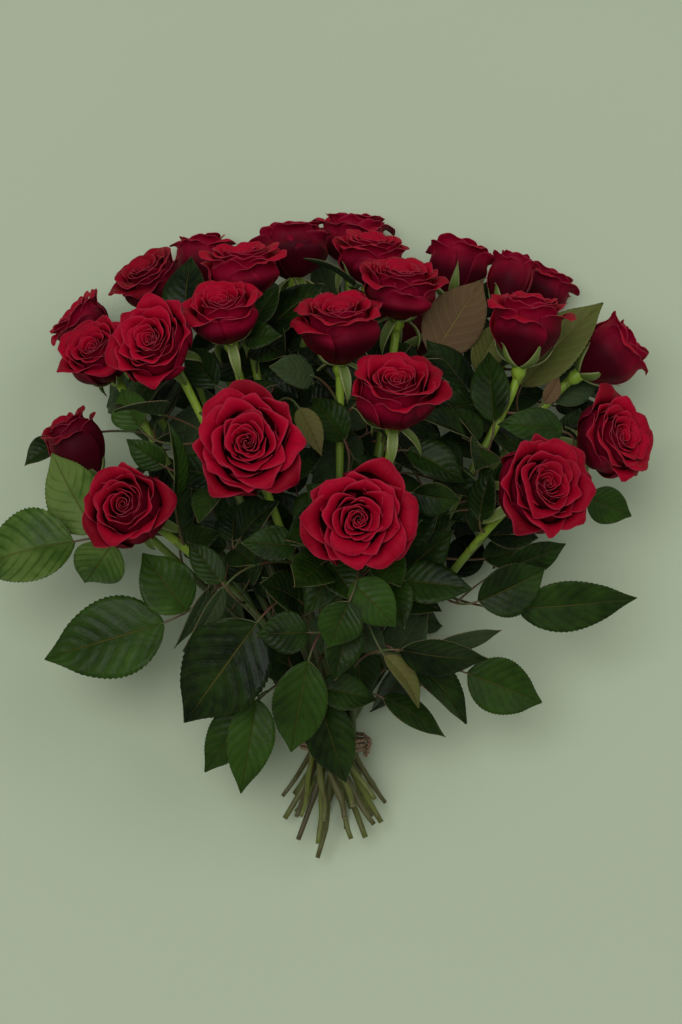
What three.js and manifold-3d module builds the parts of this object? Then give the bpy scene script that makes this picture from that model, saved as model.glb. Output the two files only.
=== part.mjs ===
// A hand-tied bunch of twenty-five red roses with their leaves, lying on a table.
//
// Lengths are millimetres. Everything is built in the bunch's own frame: the origin is the middle of
// the tie, +Y runs along the bunch to the blooms, +X is across it and +Z is away from the table.
// The last group tips that frame so that the bunch rests on its lowest blooms and its stem ends,
// and puts the table at z = 0 with the origin under the middle of the whole bunch.
import * as THREE from "three";
import { mergeVertices } from "three/addons/utils/BufferGeometryUtils.js";
import Module from "manifold-3d";

const wasm = await Module();
wasm.setup();

// ---------------------------------------------------------------- driving dimensions
const TILT = THREE.MathUtils.degToRad(14.6); // the bunch's rise from its stem ends to its blooms
const TIE_HEIGHT = 35.4; // middle of the tie above the table
const GAP = 0.3; // air between two pieces that touch

const STEM_R = 2.8;
const STEM_SIDES = 5;
const STEM_STEPS = 8;
const TAIL = 84; // stem left below the tie, on a stem along the axis
const TAIL_SHORTER = 62; // how much shorter it is for each unit of the stem's slope
const TAIL_RAGGED = 9; // how far the cut ends differ
const SPIRAL = 31; // how far a stem sits to the side of the axis at the tie, for each unit of slope
const SLOPE_AT_TIE = 0.68; // share of its whole slope that a stem has at the tie
const STEM_AIR = 1.8 * GAP; // air between neighbouring stems at the tie
const STEM_BOW = 0.4; // how far up its rise a stem keeps the way it has at the tie
const NECK = 40; // straight neck under a bloom

const CALYX_R = 5.4;
const CALYX_LONG = 12;
const SEPAL_THICK = 1.2;

const BLADE = 0.75; // thickness of a leaf
const PETIOLE_R = 1;
const CLEAR = 0.4; // least air between a leaf and any other rose
const TIE = { turns: 3, pitch: 3.2, thick: 3, sides: 16, knot: 4.5 };

// Each rose: the middle of its bloom, its radius, how far it is open (0 bud, 1 full) and where it faces.
const ROSES = [
  { name: "front_centre", at: [17, 159, 125], r: 38, open: 1, faces: [0, -0.05, 1] },
  { name: "front_left", at: [-55, 207, 118], r: 38, open: 1, faces: [0, 0.1, 1] },
  { name: "front_right", at: [139, 179, 85], r: 34, open: 0.9, faces: [0.4, 0.25, 0.88] },
  { name: "low_left", at: [-136, 166, 88], r: 30, open: 0.7, faces: [-0.3, 0.25, 0.92] },
  { name: "mid_front", at: [42, 241, 100], r: 32, open: 0.7, faces: [0.05, 0.72, 0.65] },
  { name: "centre", at: [5, 289, 55], r: 31, open: 0.7, faces: [0, 0.9, 0.44] },
  { name: "mid_top", at: [48, 320, 15], r: 31, open: 0.9, faces: [0.1, 0.9, 0.4] },
  { name: "left_mid", at: [-75, 300, 40], r: 26, open: 0.7, faces: [-0.15, 0.8, 0.57] },
  { name: "left_top", at: [-64, 336, -8], r: 31, open: 0.9, faces: [-0.05, 0.93, 0.35] },
  { name: "left_front", at: [-121, 276, 65], r: 30, open: 0.9, faces: [-0.3, 0.3, 0.9] },
  { name: "left_side", at: [-167, 274, -3], r: 28, open: 0.7, faces: [-0.35, 0.55, 0.7] },
  { name: "left_far", at: [-186, 300, -56], r: 27, open: 0.7, faces: [-0.7, 0.65, 0.25] },
  { name: "left_back", at: [-134, 331, -48], r: 29, open: 0.8, faces: [-0.4, 0.75, 0.45] },
  { name: "back_left", at: [-100, 356, -107], r: 26, open: 0.6, faces: [-0.1, 0.95, 0] },
  { name: "top_left", at: [-31, 356, -62], r: 30, open: 0.8, faces: [-0.1, 0.97, -0.2] },
  { name: "back_top", at: [14, 372, -108], r: 30, open: 0.8, faces: [0.05, 0.98, 0.05] },
  { name: "top", at: [28, 348, -38], r: 29, open: 0.9, faces: [0.1, 0.93, 0.3] },
  { name: "top_right", at: [92, 345, -78], r: 27, open: 0.6, faces: [0.15, 0.95, -0.25] },
  { name: "right_mid", at: [135, 294, 30], r: 31, open: 0.5, faces: [0.15, 0.95, 0.2] },
  { name: "right_bud", at: [130, 335, -45], r: 20, open: 0.2, faces: [0.2, 0.97, -0.1] },
  { name: "back_right", at: [159, 331, -99], r: 26, open: 0.7, faces: [0.45, 0.85, -0.1] },
  { name: "right_far", at: [202, 278, -20], r: 26, open: 0.4, faces: [0.8, 0.55, 0.1] },
  { name: "right_side", at: [194, 213, 25], r: 32, open: 0.8, faces: [0.65, 0.25, 0.7] },
  { name: "left_bud", at: [-182, 213, 10], r: 20, open: 0.1, faces: [-0.45, 0.85, 0.25] },
  { name: "back_low", at: [53, 296, -85], r: 28, open: 0.6, faces: [0.2, 0.5, -0.8] },
];

// Each leaf that shows on the outside of the bunch, as its leaflets: where the blade starts, its tip,
// its width and where its face points. Its stalk comes from whichever stem reaches it freely.
const LEAVES = [
  {
    name: "far_left",
    blades: [
      [[-175, 141, 45], [-243, 124, 34], 54, [-0.1, 0.35, 1]],
      [[-162, 147, 36], [-195, 202, 20], 42, [-0.2, 0, 1]],
      [[-148, 140, 52], [-171, 111, 22], 36, [-0.2, -0.5, 1]],
    ],
  },
  {
    name: "left_large",
    blades: [
      [[-114, 86, 66], [-196, 61, 58], 55, [0, 0.1, 1]],
      [[-99, 94, 66], [-129, 133, 62], 38, [0.1, 0, 1]],
    ],
  },
  { name: "left_tip", blades: [[[-192, 210, -2], [-217, 194, 8], 20, [-0.2, 0.5, 0.8]]] },
  { name: "left_upper", blades: [[[-132, 218, 36], [-146, 246, 26], 27, [-0.3, 0, 1]]] },
  { name: "left_inner", blades: [[[-115, 192, 40], [-140, 210, 46], 20, [0, -0.3, 1]]] },
  { name: "left_edge_on", blades: [[[-106, 168, 62], [-109, 221, 70], 17, [0.85, 0, 0.6]]] },
  { name: "left_twisted", blades: [[[-73, 114, 84], [-96, 142, 76], 20, [0.5, -0.5, 0.8]]] },
  { name: "left_folded", blades: [[[-72, 111, 82], [-99, 68, 78], 18, [0.85, 0.2, 0.55]]] },
  { name: "left_folded_back", blades: [[[-83, 110, 66], [-105, 68, 60], 18, [0.85, 0.2, 0.5]]] },
  { name: "low_large", blades: [[[-50, 88, 86], [-99, 20, 70], 58, [-0.1, -0.1, 1]]] },
  {
    name: "low_pair",
    blades: [
      [[-54, 30, 54], [-88, -16, 44], 30, [-0.5, -0.2, 1]],
      [[-51, 35, 60], [-62, -29, 54], 32, [0.1, -0.1, 1]],
    ],
  },
  { name: "low_oval", blades: [[[-15, 82, 98], [-50, 81, 98], 28, [0, 0.2, 1]]] },
  { name: "low_middle", blades: [[[-16, 63, 90], [-28, 0, 66], 36, [-0.1, -0.3, 1]]] },
  {
    name: "under_front",
    blades: [
      [[11, 103, 112], [-3, 72, 102], 29, [0, -0.1, 1]],
      [[13, 115, 104], [42, 86, 100], 31, [0.1, 0.2, 1]],
    ],
  },
  { name: "over_tie_side", blades: [[[-9, 43, 66], [30, 35, 60], 27, [0, 0.5, 1]]] },
  { name: "over_tie", blades: [[[-9, 37, 58], [9, -24, 42], 33, [0, -0.25, 1]]] },
  { name: "pale_hanging", blades: [[[34, 66, 82], [58, 30, 66], 17, [0.6, 0.4, 0.8]]] },
  { name: "right_low_dark", blades: [[[34, 35, 44], [78, 7, 30], 21, [0, 0.55, 0.8]]] },
  { name: "right_low_two_tone", blades: [[[44, 67, 66], [93, 17, 44], 26, [0.45, 0.5, 1]]] },
  {
    name: "right_low_glossy",
    blades: [
      [[45, 70, 84], [105, 62, 66], 29, [0, -0.5, 1]],
      [[91, 52, 52], [143, 31, 38], 38, [0.1, 0, 1]],
    ],
  },
  { name: "right_brown", blades: [[[72, 72, 52], [115, 80, 40], 19, [0, -0.7, 0.8]]] },
  { name: "right_long", blades: [[[125, 96, 52], [208, 102, 38], 35, [0.1, -0.25, 1]]] },
  {
    name: "right_inner",
    blades: [
      [[98, 101, 62], [143, 123, 52], 36, [0.2, -0.2, 1]],
      [[119, 124, 46], [159, 139, 40], 24, [0, -0.4, 1]],
    ],
  },
  { name: "right_edge", blades: [[[174, 171, 36], [206, 158, 26], 26, [0.2, -0.2, 1]]] },
  { name: "right_across", blades: [[[156, 216, 44], [112, 221, 52], 26, [0, 0.3, 1]]] },
  { name: "right_brown_tip", blades: [[[146, 236, 20], [157, 255, 16], 12, [0.3, 0, 1]]] },
  { name: "right_dark_glossy", blades: [[[111, 223, 20], [108, 273, 8], 27, [-0.2, 0, 1]]] },
  { name: "right_olive", blades: [[[133, 250, -14], [192, 311, -24], 38, [-0.2, 0.2, 1]]] },
  {
    name: "top_brown",
    blades: [
      [[70, 270, -8], [107, 327, -30], 42, [-0.1, 0.1, 1]],
      [[101, 260, -14], [119, 296, -26], 24, [0.1, 0, 1]],
    ],
  },
  { name: "middle_glossy", blades: [[[53, 174, 84], [85, 169, 78], 24, [0, -0.4, 1]]] },
  { name: "middle_olive", blades: [[[-22, 230, 74], [-7, 199, 84], 17, [0.3, 0, 1]]] },
  { name: "middle_back", blades: [[[8, 210, 34], [-14, 240, 26], 27, [0, 0, 1]]] },
  { name: "middle_low", blades: [[[-24, 139, 88], [-60, 141, 92], 24, [0, 0.2, 1]]] },
  { name: "left_teal", blades: [[[-81, 248, 14], [-103, 277, 2], 25, [-0.2, 0, 1]]] },
  { name: "right_middle", blades: [[[99, 156, 60], [105, 189, 70], 24, [-0.6, 0, 0.8]]] },
];

// Leaves deeper in the bunch and round its back: a spiral over the bunch's cone, each leaf of three.
const INNER = {
  leaves: 6,
  tries: 60,
  from: 90, // lowest along the bunch
  to: 235,
  lean: [0.8, 0.5], // greatest slope across and away from the table
  forward: 0.05,
  long: 42,
  wide: 27,
};

// ---------------------------------------------------------------- small helpers
const vec = (a) => new THREE.Vector3(...a);
const mix = (a, b, t) => a + (b - a) * t;
const unit = (a) => a.clone().normalize();
const Z = new THREE.Vector3(0, 0, 1);

// A fixed number from 0 to 1 for each pair of counts.
function chance(i, j = 0) {
  const wave = Math.sin(12.9898 * (i + 1) + 78.233 * (j + 1)) * 43758.5453;
  return wave - Math.floor(wave);
}

// A closed solid from any closed geometry.
function solidOf(geometry) {
  const bare = geometry.index ? geometry.toNonIndexed() : geometry.clone();
  for (const name of ["normal", "uv"]) bare.deleteAttribute(name);
  const merged = mergeVertices(bare, 1e-4);
  return new wasm.Manifold(
    new wasm.Mesh({
      numProp: 3,
      vertProperties: merged.attributes.position.array,
      triVerts: new Uint32Array(merged.index.array),
    }),
  );
}

// The geometry of a solid, as three.js holds it.
function geometryOf(solid) {
  const mesh = solid.getMesh();
  const points = new Float32Array(mesh.numVert * 3);
  for (let i = 0; i < mesh.numVert; i++) {
    const from = i * mesh.numProp;
    points.set(mesh.vertProperties.subarray(from, from + 3), i * 3);
  }
  return new THREE.BufferGeometry()
    .setAttribute("position", new THREE.BufferAttribute(points, 3))
    .setIndex(new THREE.BufferAttribute(mesh.triVerts, 1));
}

// The matrix that stands local +Z along `axis` at `origin`.
function standing(origin, axis) {
  const turn = new THREE.Quaternion().setFromUnitVectors(Z, axis);
  return new THREE.Matrix4().compose(origin, turn, new THREE.Vector3(1, 1, 1));
}

// A thin rod along a path.
function rod(path, radius, sides, steps) {
  const section = new THREE.Shape();
  for (let i = 0; i < sides; i++) {
    const angle = (2 * Math.PI * i) / sides;
    const to = [radius * Math.cos(angle), radius * Math.sin(angle)];
    if (i === 0) section.moveTo(...to);
    else section.lineTo(...to);
  }
  return solidOf(new THREE.ExtrudeGeometry(section, { steps, extrudePath: path, curveSegments: 1 }));
}

// ---------------------------------------------------------------- where the stems run
const bloomHeight = (rose) => rose.r * (1.1 + 1.5 * (1 - rose.open) ** 1.5);

for (const rose of ROSES) {
  rose.axis = unit(vec(rose.faces));
  rose.base = vec(rose.at).addScaledVector(rose.axis, -bloomHeight(rose) / 2);
  rose.head = rose.base.clone().addScaledVector(rose.axis, -CALYX_LONG);
  rose.neck = rose.base.clone().addScaledVector(rose.axis, -NECK);
  rose.slope = rose.neck.clone().multiplyScalar(SLOPE_AT_TIE / rose.neck.y).setY(1);
}

// A spiral bunch: at the tie every stem sits a quarter turn round from the way it leans, so that no two
// cross. The ways are drawn in and pushed apart by turns until the stems just touch their neighbours.
function drawTogether() {
  const reach = (2 * STEM_R + STEM_AIR) / SPIRAL;
  const drawnIn = new THREE.Vector3(0.997, 1, 0.997);
  const [rounds, lastDraw] = [1500, 1300];
  for (let round = 0; round < rounds; round++) {
    if (round < lastDraw) for (const rose of ROSES) rose.slope.multiply(drawnIn);
    for (let i = 0; i < ROSES.length; i++) {
      for (let j = 0; j < i; j++) {
        const [a, b] = [ROSES[i].slope, ROSES[j].slope];
        const apart = a.clone().sub(b);
        const between = unit(a.clone().add(b));
        const side = new THREE.Vector3(apart.z, 0, -apart.x);
        side.addScaledVector(between, -side.dot(between));
        const short = reach - side.length();
        if (short <= 0) continue;
        const push = unit(apart).multiplyScalar(short / 2);
        a.add(push);
        b.sub(push);
      }
    }
  }
  for (const rose of ROSES) {
    rose.slot = new THREE.Vector3(rose.slope.z, 0, -rose.slope.x).multiplyScalar(SPIRAL);
  }
}
drawTogether();

// A stem: straight from its cut end through the tie, then one smooth bend to its bloom.
class StemCurve extends THREE.Curve {
  constructor(rose, index) {
    super();
    const way = unit(rose.slope);
    const lean = Math.hypot(rose.slope.x, rose.slope.z);
    const tail = TAIL - TAIL_SHORTER * lean - TAIL_RAGGED * chance(index);
    const rise = rose.slot.distanceTo(rose.neck);
    this.cut = rose.slot.clone().addScaledVector(way, -tail);
    this.slot = rose.slot;
    this.rise = new THREE.CubicBezierCurve3(
      rose.slot,
      rose.slot.clone().addScaledVector(way, STEM_BOW * rise),
      rose.neck,
      rose.head,
    );
    this.share = tail / (tail + rise);
  }

  getPoint(t, target = new THREE.Vector3()) {
    if (t <= this.share) return target.lerpVectors(this.cut, this.slot, t / this.share);
    return this.rise.getPoint((t - this.share) / (1 - this.share), target);
  }
}

// ---------------------------------------------------------------- blooms
// Rings of a bloom from its base over the petals' rims to the middle of its heart, for a full bloom and
// for a bud: distance out in radii, height in bloom heights, and how far the petals' tips stand out.
const RINGS = [
  { full: [0.16, 0], bud: [0.26, 0], tips: 0, petals: 5 },
  { full: [0.78, 0.34], bud: [1, 0.36], tips: 0.03, petals: 5 },
  { full: [0.92, 0.8], bud: [0.86, 0.8], tips: 0.11, petals: 5 },
  { full: [0.68, 0.6], bud: [0.66, 0.68], tips: 0, petals: 5 },
  { full: [0.74, 0.93], bud: [0.6, 0.95], tips: -0.07, petals: 5 },
  { full: [0.47, 0.7], bud: [0.44, 0.84], tips: 0, petals: 5 },
  { full: [0.48, 0.98], bud: [0.36, 1], tips: 0.06, petals: 3 },
  { full: [0.24, 0.8], bud: [0.22, 0.88], tips: 0, petals: 3 },
];
const HEART = { full: 0.97, bud: 1.02 };
const COLUMNS = 15;

// A bloom stands on its base at the origin. Every ring rises and falls round the flower, outwards and
// upwards at its petals' tips; a ring with negative tips has them between the last ring's.
function bloomSolid(rose, index) {
  const high = bloomHeight(rose);
  const profile = [[0, 0]];
  for (const ring of RINGS) profile.push([0, 1].map((k) => mix(ring.bud[k], ring.full[k], rose.open)));
  profile.push([0, mix(HEART.bud, HEART.full, rose.open)]);
  const points = profile.map(([out, up]) => new THREE.Vector2(out * rose.r, up * high));
  const bloom = new THREE.LatheGeometry(points, COLUMNS);
  const position = bloom.attributes.position;
  const rows = points.length;
  for (let i = 0; i < position.count; i++) {
    const ring = RINGS[(i % rows) - 1];
    const column = Math.floor(i / rows) % COLUMNS;
    const angle = (2 * Math.PI * column) / COLUMNS;
    const tip = ring ? ring.tips * Math.cos(ring.petals * angle) : 0;
    const out = 1 + tip / (ring ? profile[(i % rows)][0] : 1);
    const up = position.getY(i) + 0.35 * tip * high * (1 - rose.open * 0.9);
    position.setXYZ(i, position.getX(i) * out, up, position.getZ(i) * out);
  }
  bloom.rotateX(Math.PI / 2);
  bloom.rotateZ(chance(index, 3) * 2 * Math.PI);
  bloom.applyMatrix4(standing(rose.base, rose.axis));
  return solidOf(bloom);
}

// ---------------------------------------------------------------- receptacle and sepals
// Ten columns round: the even ones run out into the five sepals, the odd ones stay on the cup.
function calyxSolid(rose, index) {
  const top = mix(RINGS[0].bud[0], RINGS[0].full[0], rose.open) * rose.r;
  const long = 0.6 * rose.r + 2;
  const lift = mix(0.5, -0.25, rose.open);
  const profile = [
    { out: 0, up: -CALYX_LONG - 3 },
    { out: CALYX_R, up: -0.5 * CALYX_LONG },
    { out: top + 0.3, up: -1 - SEPAL_THICK, reach: long + 1 },
    { out: top + 0.9, up: -1, reach: long },
    { out: top + 0.4, up: -GAP },
    { out: 0, up: -GAP },
  ];
  const points = profile.map(({ out, up }) => new THREE.Vector2(out, up));
  const cup = new THREE.LatheGeometry(points, 10);
  const position = cup.attributes.position;
  for (let i = 0; i < position.count; i++) {
    const { out, reach } = profile[i % profile.length];
    const column = Math.floor(i / profile.length) % 10;
    if (!reach || column % 2) continue;
    const tilt = lift + 0.3 * (chance(index, 20 + column) - 0.5);
    const share = (out + reach * Math.cos(tilt)) / out;
    const up = position.getY(i) + reach * Math.sin(tilt);
    position.setXYZ(i, position.getX(i) * share, up, position.getZ(i) * share);
  }
  cup.rotateX(Math.PI / 2);
  cup.rotateZ(chance(index, 4) * 2 * Math.PI);
  cup.applyMatrix4(standing(rose.base, rose.axis));
  return solidOf(cup);
}

// ---------------------------------------------------------------- leaves
// Saw teeth of a blade from base to tip: how far along each point is and its share of the half width.
const TEETH = [
  [0.1, 1],
  [0.38, 1.03],
  [0.43, 0.87],
  [0.68, 1.05],
  [0.73, 0.84],
];
const RIB = [0.33, 0.7];
const halfWidth = (t) => 0.5 * Math.sin(Math.PI * t ** 0.72) ** 0.85;

// A blade from base to tip: a folded and arched plate, split alike on its two faces.
function bladeGeometry({ base, tip, wide, faces, fold, arch }) {
  const along = tip.clone().sub(base);
  const long = along.length();
  along.divideScalar(long);
  const normal = unit(faces.clone().addScaledVector(along, -faces.dot(along)));
  const across = new THREE.Vector3().crossVectors(along, normal);
  const place = (t, side, share) => {
    const out = side * share * halfWidth(t) * wide;
    const up = 4 * arch * long * t * (1 - t) + fold * Math.abs(out);
    const point = base.clone().addScaledVector(along, t * long);
    return point.addScaledVector(across, out).addScaledVector(normal, up);
  };
  const rib = [0, ...RIB, 1].map((t) => place(t, 0, 0));
  const sides = [1, -1].map((side) => TEETH.map(([t, share]) => place(t, side, share)));
  const plate = [...rib, ...sides[0], ...sides[1]];
  const faceList = [];
  for (const [k, side] of [1, -1].entries()) {
    const edge = [0, ...TEETH.map((_, i) => rib.length + k * TEETH.length + i), rib.length - 1];
    const edgeAt = [0, ...TEETH.map(([t]) => t), 1];
    const ribAt = [0, ...RIB, 1];
    let [i, j] = [0, 0];
    while (i < rib.length - 1 || j < edge.length - 1) {
      const nextRib = i < rib.length - 1 ? ribAt[i + 1] : 2;
      const nextEdge = j < edge.length - 1 ? edgeAt[j + 1] : 2;
      const onRib = nextRib < nextEdge;
      const face = onRib ? [i, i + 1, edge[j]] : [i, edge[j + 1], edge[j]];
      if (new Set(face).size === 3) faceList.push(side > 0 ? face : [face[0], face[2], face[1]]);
      if (onRib) i += 1;
      else j += 1;
    }
  }
  const count = plate.length;
  const points = [];
  for (const half of [BLADE / 2, -BLADE / 2]) {
    for (const point of plate) points.push(...point.clone().addScaledVector(normal, half).toArray());
  }
  const index = [];
  for (const [a, b, c] of faceList) index.push(a, c, b, a + count, b + count, c + count);
  const round = [0];
  for (let i = 0; i < TEETH.length; i++) round.push(rib.length + i);
  round.push(rib.length - 1);
  for (let i = TEETH.length - 1; i >= 0; i--) round.push(rib.length + TEETH.length + i);
  for (let i = 0; i < round.length; i++) {
    const [a, b] = [round[i], round[(i + 1) % round.length]];
    index.push(a, b + count, b, a, a + count, b + count);
  }
  const geometry = new THREE.BufferGeometry();
  geometry.setAttribute("position", new THREE.Float32BufferAttribute(points, 3));
  return geometry.setIndex(index);
}

// ---------------------------------------------------------------- the bunch
// Every solid that stands so far, with the rose it belongs to: a new leaf has to clear them all.
const standingSolids = [];

function stand(solid, rose, kind) {
  standingSolids.push({ solid, rose, kind, box: solid.boundingBox() });
}

function near(a, b) {
  return [0, 1, 2].every((k) => a.min[k] - CLEAR < b.max[k] && b.min[k] - CLEAR < a.max[k]);
}

const heightOver = (y, z) => y * Math.sin(TILT) + z * Math.cos(TILT) + TIE_HEIGHT;

function isFree(solid, ownStem) {
  const box = solid.boundingBox();
  if (heightOver(box.min[1], box.min[2]) < CLEAR) return false;
  return standingSolids.every(
    (other) =>
      (other.kind === "stem" && other.rose === ownStem) ||
      !near(box, other.box) ||
      solid.minGap(other.solid, CLEAR) >= CLEAR,
  );
}

// How far a leaf is moved away from the table or towards it to hang free, nearest first.
const SHIFTS = [0, 5, -5, 10, -10, 15, -15, 21, -21, 28, -28];
// Where a stalk may leave a stem: shares of the stem's rise.
const ROOTS = [0.16, 0.24, 0.32, 0.4, 0.48, 0.56, 0.64, 0.72, 0.8];
const STALK = {
  shortest: 14,
  longest: 95,
  into: 4, // how far it runs on under its blade
  bend: 0.4, // how far before the blade it turns, in its own lengths
  fork: 0.62, // where the side leaflets' stalks leave the main one
  sides: 3,
  ways: 40, // how many places on the stems are tried
};

function bladeOf([base, tip, wide, faces], shift) {
  const start = vec(base);
  const end = vec(tip);
  start.z += shift;
  end.z += shift;
  const spread = chance(base[0], base[1]);
  const fold = mix(0.1, 0.4, spread);
  const arch = mix(0.02, 0.1, spread);
  return { base: start, tip: end, wide, faces: vec(faces), fold, arch };
}

function stalkTo(from, blade) {
  const along = unit(blade.tip.clone().sub(blade.base));
  const bend = blade.base.clone().addScaledVector(along, -STALK.bend * from.distanceTo(blade.base));
  const end = blade.base.clone().addScaledVector(along, STALK.into);
  return new THREE.QuadraticBezierCurve3(from, bend, end);
}

// The ways a stalk can reach a leaf: stems and places on them, nearest first.
function rootsFor(blade) {
  const along = unit(blade.tip.clone().sub(blade.base));
  const roots = [];
  for (const rose of ROSES) {
    for (const share of ROOTS) {
      const at = rose.curve.rise.getPoint(share);
      const way = rose.curve.rise.getTangent(share);
      const reach = blade.base.clone().sub(at);
      const far = reach.length();
      const rising = reach.dot(way) / far;
      const straight = reach.dot(along) / far;
      if (far < STALK.shortest || far > STALK.longest || straight < 0.1) continue;
      roots.push({ rose, at, cost: far * (1.6 - 0.4 * straight - 0.5 * rising) });
    }
  }
  return roots.sort((a, b) => a.cost - b.cost).slice(0, STALK.ways);
}

function hang(leaf) {
  for (const shift of SHIFTS) {
    const blades = leaf.blades.map((blade) => bladeOf(blade, shift));
    const solids = blades.map((blade) => solidOf(bladeGeometry(blade)));
    if (!solids.every((solid) => isFree(solid))) continue;
    for (const root of rootsFor(blades[0])) {
      const path = stalkTo(root.at, blades[0]);
      const stalks = [rod(path, PETIOLE_R, STALK.sides, 2)];
      for (const blade of blades.slice(1)) {
        stalks.push(rod(stalkTo(path.getPoint(STALK.fork), blade), PETIOLE_R, STALK.sides, 1));
      }
      if (!stalks.every((solid) => isFree(solid, root.rose))) continue;
      const whole = [...stalks, ...solids].reduce((sum, solid) => sum.add(solid));
      if (whole.decompose().length > 1) continue;
      stand(whole, root.rose, "leaf");
      return root.rose;
    }
  }
  return null;
}

// A leaf of three leaflets deeper in the bunch, facing out of it, as the list above gives them. Each try
// for the same leaf puts it somewhere else.
function innerLeaf(n, attempt) {
  const { leaves, from, to, lean, forward, long, wide } = INNER;
  const share = Math.sqrt((n + 0.6) / leaves);
  const angle = 2.4 * n + 0.5 * (chance(n, attempt) - 0.5);
  const outward = new THREE.Vector3(Math.cos(angle), 0, Math.sin(angle));
  outward.multiply(new THREE.Vector3(lean[0] * share, 1, lean[1] * share));
  outward.z += forward;
  const height = mix(from, to, chance(attempt, n));
  const at = outward.clone().setY(1).multiplyScalar(height);
  const faces = unit(unit(outward).setY(0.9));
  const along = new THREE.Vector3(0, 1, 0).addScaledVector(faces, -faces.y).normalize();
  along.applyAxisAngle(faces, 3 * (chance(n, attempt + 50) - 0.5));
  const side = new THREE.Vector3().crossVectors(along, faces);
  const whole = (point) => point.toArray().map(Math.round);
  const blades = [[whole(at), whole(at.clone().addScaledVector(along, long)), wide, faces.toArray()]];
  for (const hand of [1, -1]) {
    const start = at.clone().addScaledVector(along, -10).addScaledVector(side, 4 * hand);
    const end = start.clone().addScaledVector(along, 0.35 * long).addScaledVector(side, 0.75 * long * hand);
    blades.push([whole(start), whole(end), 0.9 * wide, faces.toArray()]);
  }
  return { name: `inner_${n}`, blades };
}

// The tie is a few turns of twine round the stems, with its knot on one side.
function tieSolid() {
  const bundle = Math.max(...ROSES.map(({ slope }) => SPIRAL * Math.hypot(slope.x, slope.z)));
  const half = (TIE.turns * TIE.pitch) / 2;
  const inner = (Math.hypot(1, half / SPIRAL) * (bundle + STEM_R) + GAP) / Math.cos(Math.PI / TIE.sides);
  const profile = [
    [inner, -half],
    [inner + 0.55 * TIE.thick, -half],
  ];
  for (let turn = 0; turn < TIE.turns; turn++) {
    profile.push([inner + TIE.thick, -half + (turn + 0.5) * TIE.pitch]);
    profile.push([inner + 0.55 * TIE.thick, -half + (turn + 1) * TIE.pitch]);
  }
  profile.push([inner, half], [inner, -half]);
  const points = profile.map(([out, up]) => new THREE.Vector2(out, up));
  const knot = new THREE.IcosahedronGeometry(TIE.knot, 0);
  knot.scale(0.7, 1, 1.2);
  knot.translate(inner + TIE.thick, 0, 0);
  return solidOf(new THREE.LatheGeometry(points, TIE.sides)).add(solidOf(knot));
}

for (const [index, rose] of ROSES.entries()) {
  rose.curve = new StemCurve(rose, index);
  const stem = rod(rose.curve, STEM_R, STEM_SIDES, STEM_STEPS);
  stand(stem.add(calyxSolid(rose, index)), rose, "stem");
  stand(bloomSolid(rose, index), rose, "bloom");
}
stand(tieSolid(), null, "tie");
for (const leaf of LEAVES) hang(leaf);
for (let n = 0; n < INNER.leaves; n++) {
  let attempt = 0;
  while (attempt < INNER.tries && !hang(innerLeaf(n, attempt))) attempt += 1;
}

// ---------------------------------------------------------------- the pieces as meshes
const COLOURS = {
  bloom: { color: 0x8c0a1e, roughness: 0.7, metalness: 0 },
  leafy_stem: { color: 0x33502a, roughness: 0.5, metalness: 0 },
  tie: { color: 0xa98c78, roughness: 0.9, metalness: 0 },
};

// What lies under the table's top, in the bunch's own frame: the lowest petals and stems are pressed flat.
const table = new THREE.BoxGeometry(1000, 1000, 200);
table.translate(0, 0, -100 - TIE_HEIGHT);
table.rotateX(-TILT);
const underTable = solidOf(table);

const group = new THREE.Group();

function addMesh(kind, name, solid) {
  const mesh = new THREE.Mesh(
    geometryOf(solid.subtract(underTable)),
    new THREE.MeshStandardMaterial(COLOURS[kind]),
  );
  mesh.name = name;
  group.add(mesh);
}

for (const rose of ROSES) {
  const own = standingSolids.filter((piece) => piece.rose === rose);
  const leafy = own.filter(({ kind }) => kind !== "bloom").map(({ solid }) => solid);
  addMesh("bloom", `bloom_${rose.name}`, own.find(({ kind }) => kind === "bloom").solid);
  addMesh("leafy_stem", `leafy_stem_${rose.name}`, leafy.reduce((sum, solid) => sum.add(solid)));
}
addMesh("tie", "tie", standingSolids.find(({ kind }) => kind === "tie").solid);

group.rotation.x = TILT;
group.position.z = TIE_HEIGHT;
const box = new THREE.Box3().setFromObject(group, true);
group.position.x = -(box.min.x + box.max.x) / 2;
group.position.y = -(box.min.y + box.max.y) / 2;
group.updateMatrixWorld(true);

export default group;
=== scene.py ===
import itertools
import math

import bpy
import numpy as np
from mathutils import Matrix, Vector, kdtree


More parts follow.
